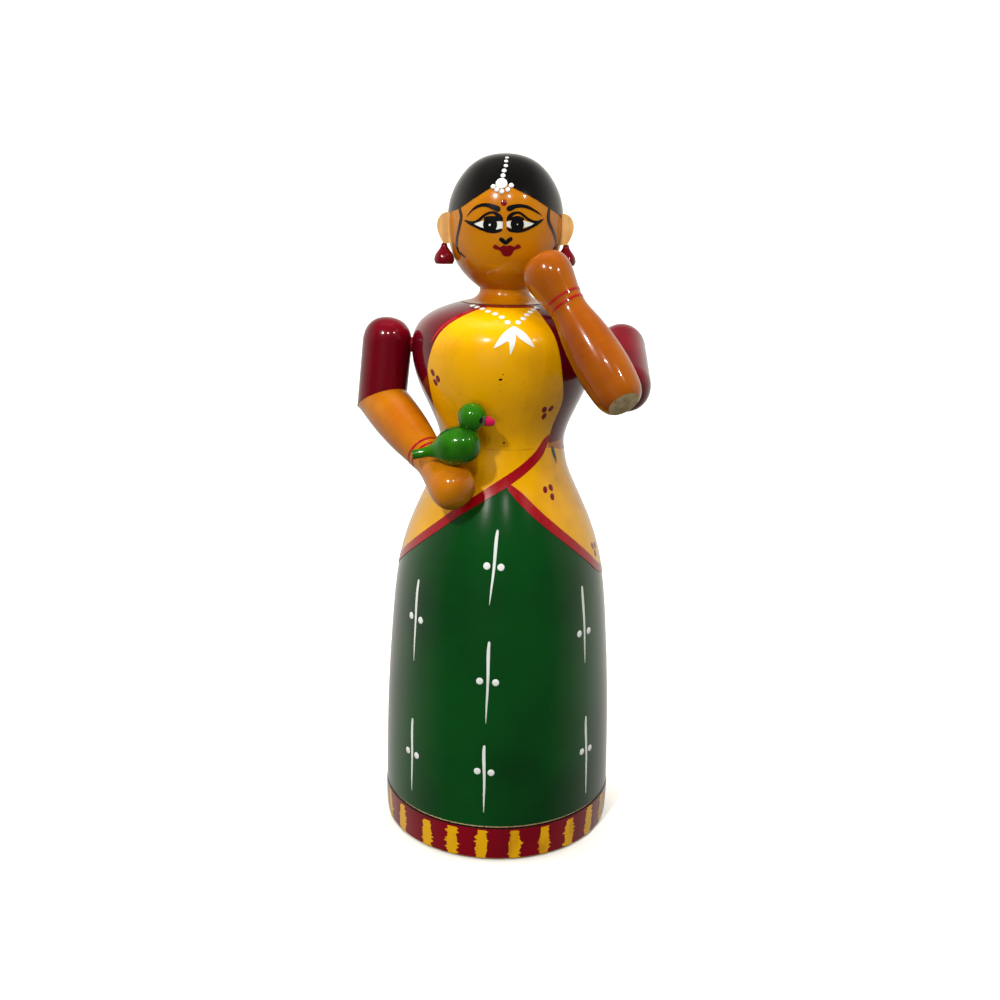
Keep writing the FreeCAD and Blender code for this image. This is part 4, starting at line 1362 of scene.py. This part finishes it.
@dataclass
class Parrot:
    """The small parrot on the hand: body and tail in one turning, a ball for a head, and a beak."""

    tail: Vector = field(default_factory=lambda: Vector((-17.0, -18.5, 84.0)))
    breast: Vector = field(default_factory=lambda: Vector((-7.7, -18.5, 86.1)))
    head: Vector = field(default_factory=lambda: Vector((-5.7, -18.5, 91.5)))
    beak_tip: Vector = field(default_factory=lambda: Vector((-1.5, -18.5, 90.4)))
    length: float = 13.4
    radius: float = 3.8
    tail_radius: float = 0.95
    head_radius: float = 2.8
    beak_radius: float = 1.0
    beak_length: float = 2.0
    beak_sink: float = 0.25

    def build(self) -> None:
        """Builds the body, head and beak and paints the eyes and wing edges."""
        body = self._body()
        self._marks(body)
        self._head()
        self._beak()

    def _body(self) -> Turning:
        """Spins the body and tail."""
        radius, tail, length = self.radius, self.tail_radius, self.length
        back = [(tail, 0), (tail * 0.95, length * 0.15), (tail * 0.96, length * 0.29),
                (radius * 0.8, length * 0.42),
                (radius * 1.02, length * 0.58), (radius * 1.02, length * 0.87), (radius * 0.5, length),
                (0, length)]
        turning = Turning("parrot_body_turning", [[(0, 0), (tail, 0)], back], slice(1, 2),
                          self.tail, self.breast - self.tail, 112)
        keep(dress(turning.spin(), turning.lacquered(Tin.PARROT)), "right_arm", "parrot_lacquer",
             "parrot_body")
        return turning

    def _marks(self, turning: Turning) -> None:
        """Draws the edges of the folded wings along the back."""
        surface = turning.surface()
        brush = Brush(surface, 0.02, 0.03)

        def side(direction: tuple[float, float, float]) -> float:
            """The turning's own angle that looks in a direction."""
            local = turning.place.to_3x3().inverted() @ Vector(direction)
            return math.degrees(math.atan2(local.x, -local.y))

        pieces = []
        for sign in (-1, 1):
            high = side((0, sign * 0.30, 1.0))
            wing = [(high, 10.9, 0.2), (high, 9.4, 0.42), (high, 7.6, 0.4), (high, 6.0, 0.12)]
            pieces.append(brush.stroke("wing", wing, 30, 4))
        lay("parrot_feathers", pieces, mixed(Tin.LEAF), "right_arm", "parrot_lacquer")

    def _head(self) -> None:
        """Rounds the head over the body and sets its eyes."""
        up = (self.head - self.breast).normalized()
        bpy.ops.object.select_all(action="DESELECT")
        bpy.ops.mesh.primitive_uv_sphere_add(segments=96, ring_count=48, radius=self.head_radius * MM)
        piece = bpy.context.object
        piece.name = "parrot_head_ball"
        piece.matrix_world = (Matrix.Translation(self.head * MM)
                              @ UP.rotation_difference(up).to_matrix().to_4x4())
        only(piece)
        bpy.ops.object.transform_apply(location=True, rotation=True, scale=True)
        smooth(piece)
        keep(dress(piece, mixed(Tin.PARROT, self.head * MM, up, "_parrot_head")),
             "right_arm", "parrot_lacquer", "parrot_head")
        turns = np.radians(np.linspace(0, 180, 61))
        surface = Surface(self.head_radius * np.sin(turns), -self.head_radius * np.cos(turns),
                          Matrix.Translation(self.head * MM))
        brush = Brush(surface, 0.02)
        eyes = [brush.drop("eye", angle, -0.3, 1.15, 1.2, 0.10) for angle in (41.3, 138.7)]
        lay("parrot_eyes", eyes, mixed(Tin.BLACK), "right_arm", "parrot_lacquer")

    def _beak(self) -> None:
        """Spins the beak."""
        forwards = (self.beak_tip - self.head).normalized()
        radius, length = self.beak_radius, self.beak_length
        tip = [(radius, 0), (radius * 1.05, length * 0.5), (radius * 0.55, length), (0, length)]
        turning = Turning("parrot_beak_turning", [[(0, 0), (radius, 0)], tip], slice(1, 2),
                          self.head + forwards * (self.head_radius - self.beak_sink), forwards, 64)
        keep(dress(turning.spin(), turning.lacquered(Tin.BEAK)), "right_arm", "beak_lacquer", "parrot_beak")


@dataclass
class Studio:
    """A pale floor, soft light and the camera."""

    lens: float = 39.5
    eye: Vector = field(default_factory=lambda: Vector((0, -0.2236, 0.1284)))
    tilt: float = 16.0
    roll: float = 0.92
    shift: tuple[float, float] = (-0.0006, 0.0289)

    def build(self) -> None:
        """Sets the stage."""
        self._floor()
        self._world()
        self._light("left_lamp", (-0.245, -0.535, 0.56), 0.045, 3.1, True)
        self._light("middle_lamp", (0.08, -0.585, 0.56), 0.028, 0.9, True)
        self._light("right_lamp", (0.42, -0.44, 0.55), 0.028, 0.5, True)
        self._light("front_box", (-0.16, -0.66, 0.06), 0.36, 1.5)
        self._light("left_box", (-0.62, -0.10, 0.34), 0.30, 0.9)
        self._light("right_box", (0.62, -0.06, 0.34), 0.30, 0.8)
        self._light("top_box", (0.0, 0.05, 0.90), 0.50, 3.0)
        self._light("backdrop_box", (0.0, 0.20, 1.10), 0.80, 22.0, False, (0, 1.0, 0.45))
        self._camera()

    def _floor(self) -> None:
        """Lays a floor that curves up behind."""
        bpy.ops.object.select_all(action="DESELECT")
        bpy.ops.mesh.primitive_plane_add(size=3.2, location=(0, -0.6, -0.00005))
        floor = bpy.context.object
        floor.name = "floor"
        only(floor)
        bpy.ops.object.transform_apply(location=True)
        self._pick_back(floor)
        bpy.ops.object.mode_set(mode="EDIT")
        bpy.ops.mesh.extrude_region_move(TRANSFORM_OT_translate={"value": (0, 0, 1.8)})
        bpy.ops.object.mode_set(mode="OBJECT")
        self._pick_back(floor)
        bpy.ops.object.mode_set(mode="EDIT")
        bpy.ops.mesh.bevel(offset=0.5, segments=24, affect="EDGES")
        bpy.ops.object.mode_set(mode="OBJECT")
        smooth(floor)
        tree = Tree("pale_floor")
        grain = tree.noise(tree.place(), 60.0, 2.0)
        material = tree.finish(Base_Color=tree.blend(grain, (0.88, 0.88, 0.87), (0.85, 0.85, 0.84)),
                               Roughness=0.6)
        dress(floor, material)
        floor.visible_glossy = False
        floor.visible_diffuse = False

    def _pick_back(self, floor: bpy.types.Object) -> None:
        """Selects the floor's back edge."""
        only(floor)
        bpy.ops.object.mode_set(mode="EDIT")
        bpy.ops.mesh.select_mode(type="EDGE")
        bpy.ops.mesh.select_all(action="DESELECT")
        bpy.ops.object.mode_set(mode="OBJECT")
        back = max(vertex.co.y for vertex in floor.data.vertices)
        for edge in floor.data.edges:
            ends = [floor.data.vertices[index].co for index in edge.vertices]
            edge.select = all(end.y > back - 1e-4 and end.z < 0.01 for end in ends)

    def _world(self) -> None:
        """Surrounds the stage with a dim room that has a bright band low behind and beside it."""
        world = bpy.data.worlds.new("room")
        world.use_nodes = True
        bpy.context.scene.world = world
        nodes, links = world.node_tree.nodes, world.node_tree.links
        back = nodes["Background"]
        place = nodes.new("ShaderNodeTexCoord")
        parts = nodes.new("ShaderNodeSeparateXYZ")
        steep = nodes.new("ShaderNodeMath")
        steep.operation = "ABSOLUTE"
        band = self._ramp(nodes, 0.25, 0.80, 1.0, 0.15)
        behind = self._ramp(nodes, -0.55, 0.35, 0.0, 0.62)
        glow = nodes.new("ShaderNodeMath")
        glow.operation = "MULTIPLY_ADD"
        glow.inputs[2].default_value = 0.07
        links.new(place.outputs["Generated"], parts.inputs[0])
        links.new(parts.outputs[1], behind.inputs["Value"])
        links.new(parts.outputs[2], steep.inputs[0])
        links.new(steep.outputs[0], band.inputs["Value"])
        links.new(behind.outputs[0], glow.inputs[0])
        links.new(band.outputs[0], glow.inputs[1])
        links.new(glow.outputs[0], back.inputs["Strength"])
        back.inputs["Color"].default_value = (1, 0.97, 0.90, 1)

    def _ramp(self, nodes: Any, low: float, high: float, start: float, end: float) -> Any:
        """A node that carries one range of numbers over to another.

        Args:
            nodes: the nodes that it joins.
            low, high: the range that comes in.
            start, end: the range that goes out.

        Returns:
            The node.
        """
        ramp = nodes.new("ShaderNodeMapRange")
        for name, value in zip(("From Min", "From Max", "To Min", "To Max"), (low, high, start, end)):
            ramp.inputs[name].default_value = value
        return ramp

    def _light(self, name: str, place: tuple[float, float, float], size: float, power: float,
               mirrored: bool = False, aim: tuple[float, float, float] = (0, 0, 0.08)) -> None:
        """Hangs a square light that looks at the doll.

        Args:
            name: its name.
            place: where it hangs, in metres.
            size: its side, in metres.
            power: its power, in watts.
            mirrored: True where the lacquer shows it as a highlight.
            aim: the point that it looks at.
        """
        light = bpy.data.lights.new(name, "AREA")
        light.size = size
        light.energy = power
        light.color = (1, 0.97, 0.92)
        holder = bpy.data.objects.new(name, light)
        holder.visible_glossy = mirrored
        bpy.context.scene.collection.objects.link(holder)
        holder.location = place
        holder.rotation_euler = (Vector(aim) - Vector(place)).to_track_quat("-Z", "Y").to_euler()

    def _camera(self) -> None:
        """Sets up the camera."""
        camera = bpy.data.cameras.new("camera")
        camera.sensor_width = 36.0
        camera.lens = self.lens
        camera.clip_start = 0.01
        camera.shift_x, camera.shift_y = self.shift
        holder = bpy.data.objects.new("camera", camera)
        bpy.context.scene.collection.objects.link(holder)
        turn = Matrix.Rotation(math.radians(90 - self.tilt), 4,
                               "X") @ Matrix.Rotation(math.radians(self.roll), 4, "Z")
        holder.matrix_world = Matrix.Translation(self.eye) @ turn
        bpy.context.scene.camera = holder


def dress_cad_nodes(nodes: dict[str, bpy.types.Object]) -> None:
    """Gives the CAD nodes that stay their wood or wire."""
    for name, node in nodes.items():
        if name.startswith("ear_"):
            dress(node, mixed(Tin.VARNISHED))
        elif name.startswith(("earring_pin", "parrot_neck_pin", "perch_pin", "bun_pin")):
            dress(node, mixed(Tin.STEEL))
        elif name.startswith("shoulder_peg"):
            dress(node, mixed(Tin.MAROON, Vector((0, 0, 0)), UP, "_upright"))
        elif "dowel" in name:
            dress(node, mixed(Tin.RAW))


def main() -> None:
    """Builds the doll piece by piece."""
    logging.basicConfig(level=logging.INFO, format="%(name)s: %(message)s")
    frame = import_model()
    dress_cad_nodes(frame["nodes"])
    Figure().build()
    Head().build()
    Arm("right", Vector((-24.7, 0, 91.6)), Vector((-23.5, 0, 103.3)), 16.7, 4.95,
        Vector((-24.7, 0, 91.6)), Vector((-9.7, -18.0, 78.0)), 31.3, 4.85, 3.35, 4.45,
        False, (17.1, 18.3)).build()
    Arm("left", Vector((23.6, -13.3, 97.0)), Vector((23.8, 0, 102.7)), 19.3, 4.85,
        Vector((20.65, -21.5, 97.95)), Vector((8.0, -12.82, 117.9)), 28.9, 4.95, 3.5, 4.6,
        True, (17.9, 19.3)).build()
    Parrot().build()
    Studio().build()
    bpy.context.scene.view_settings.view_transform = "Standard"


if __name__ == "__main__":
    main()
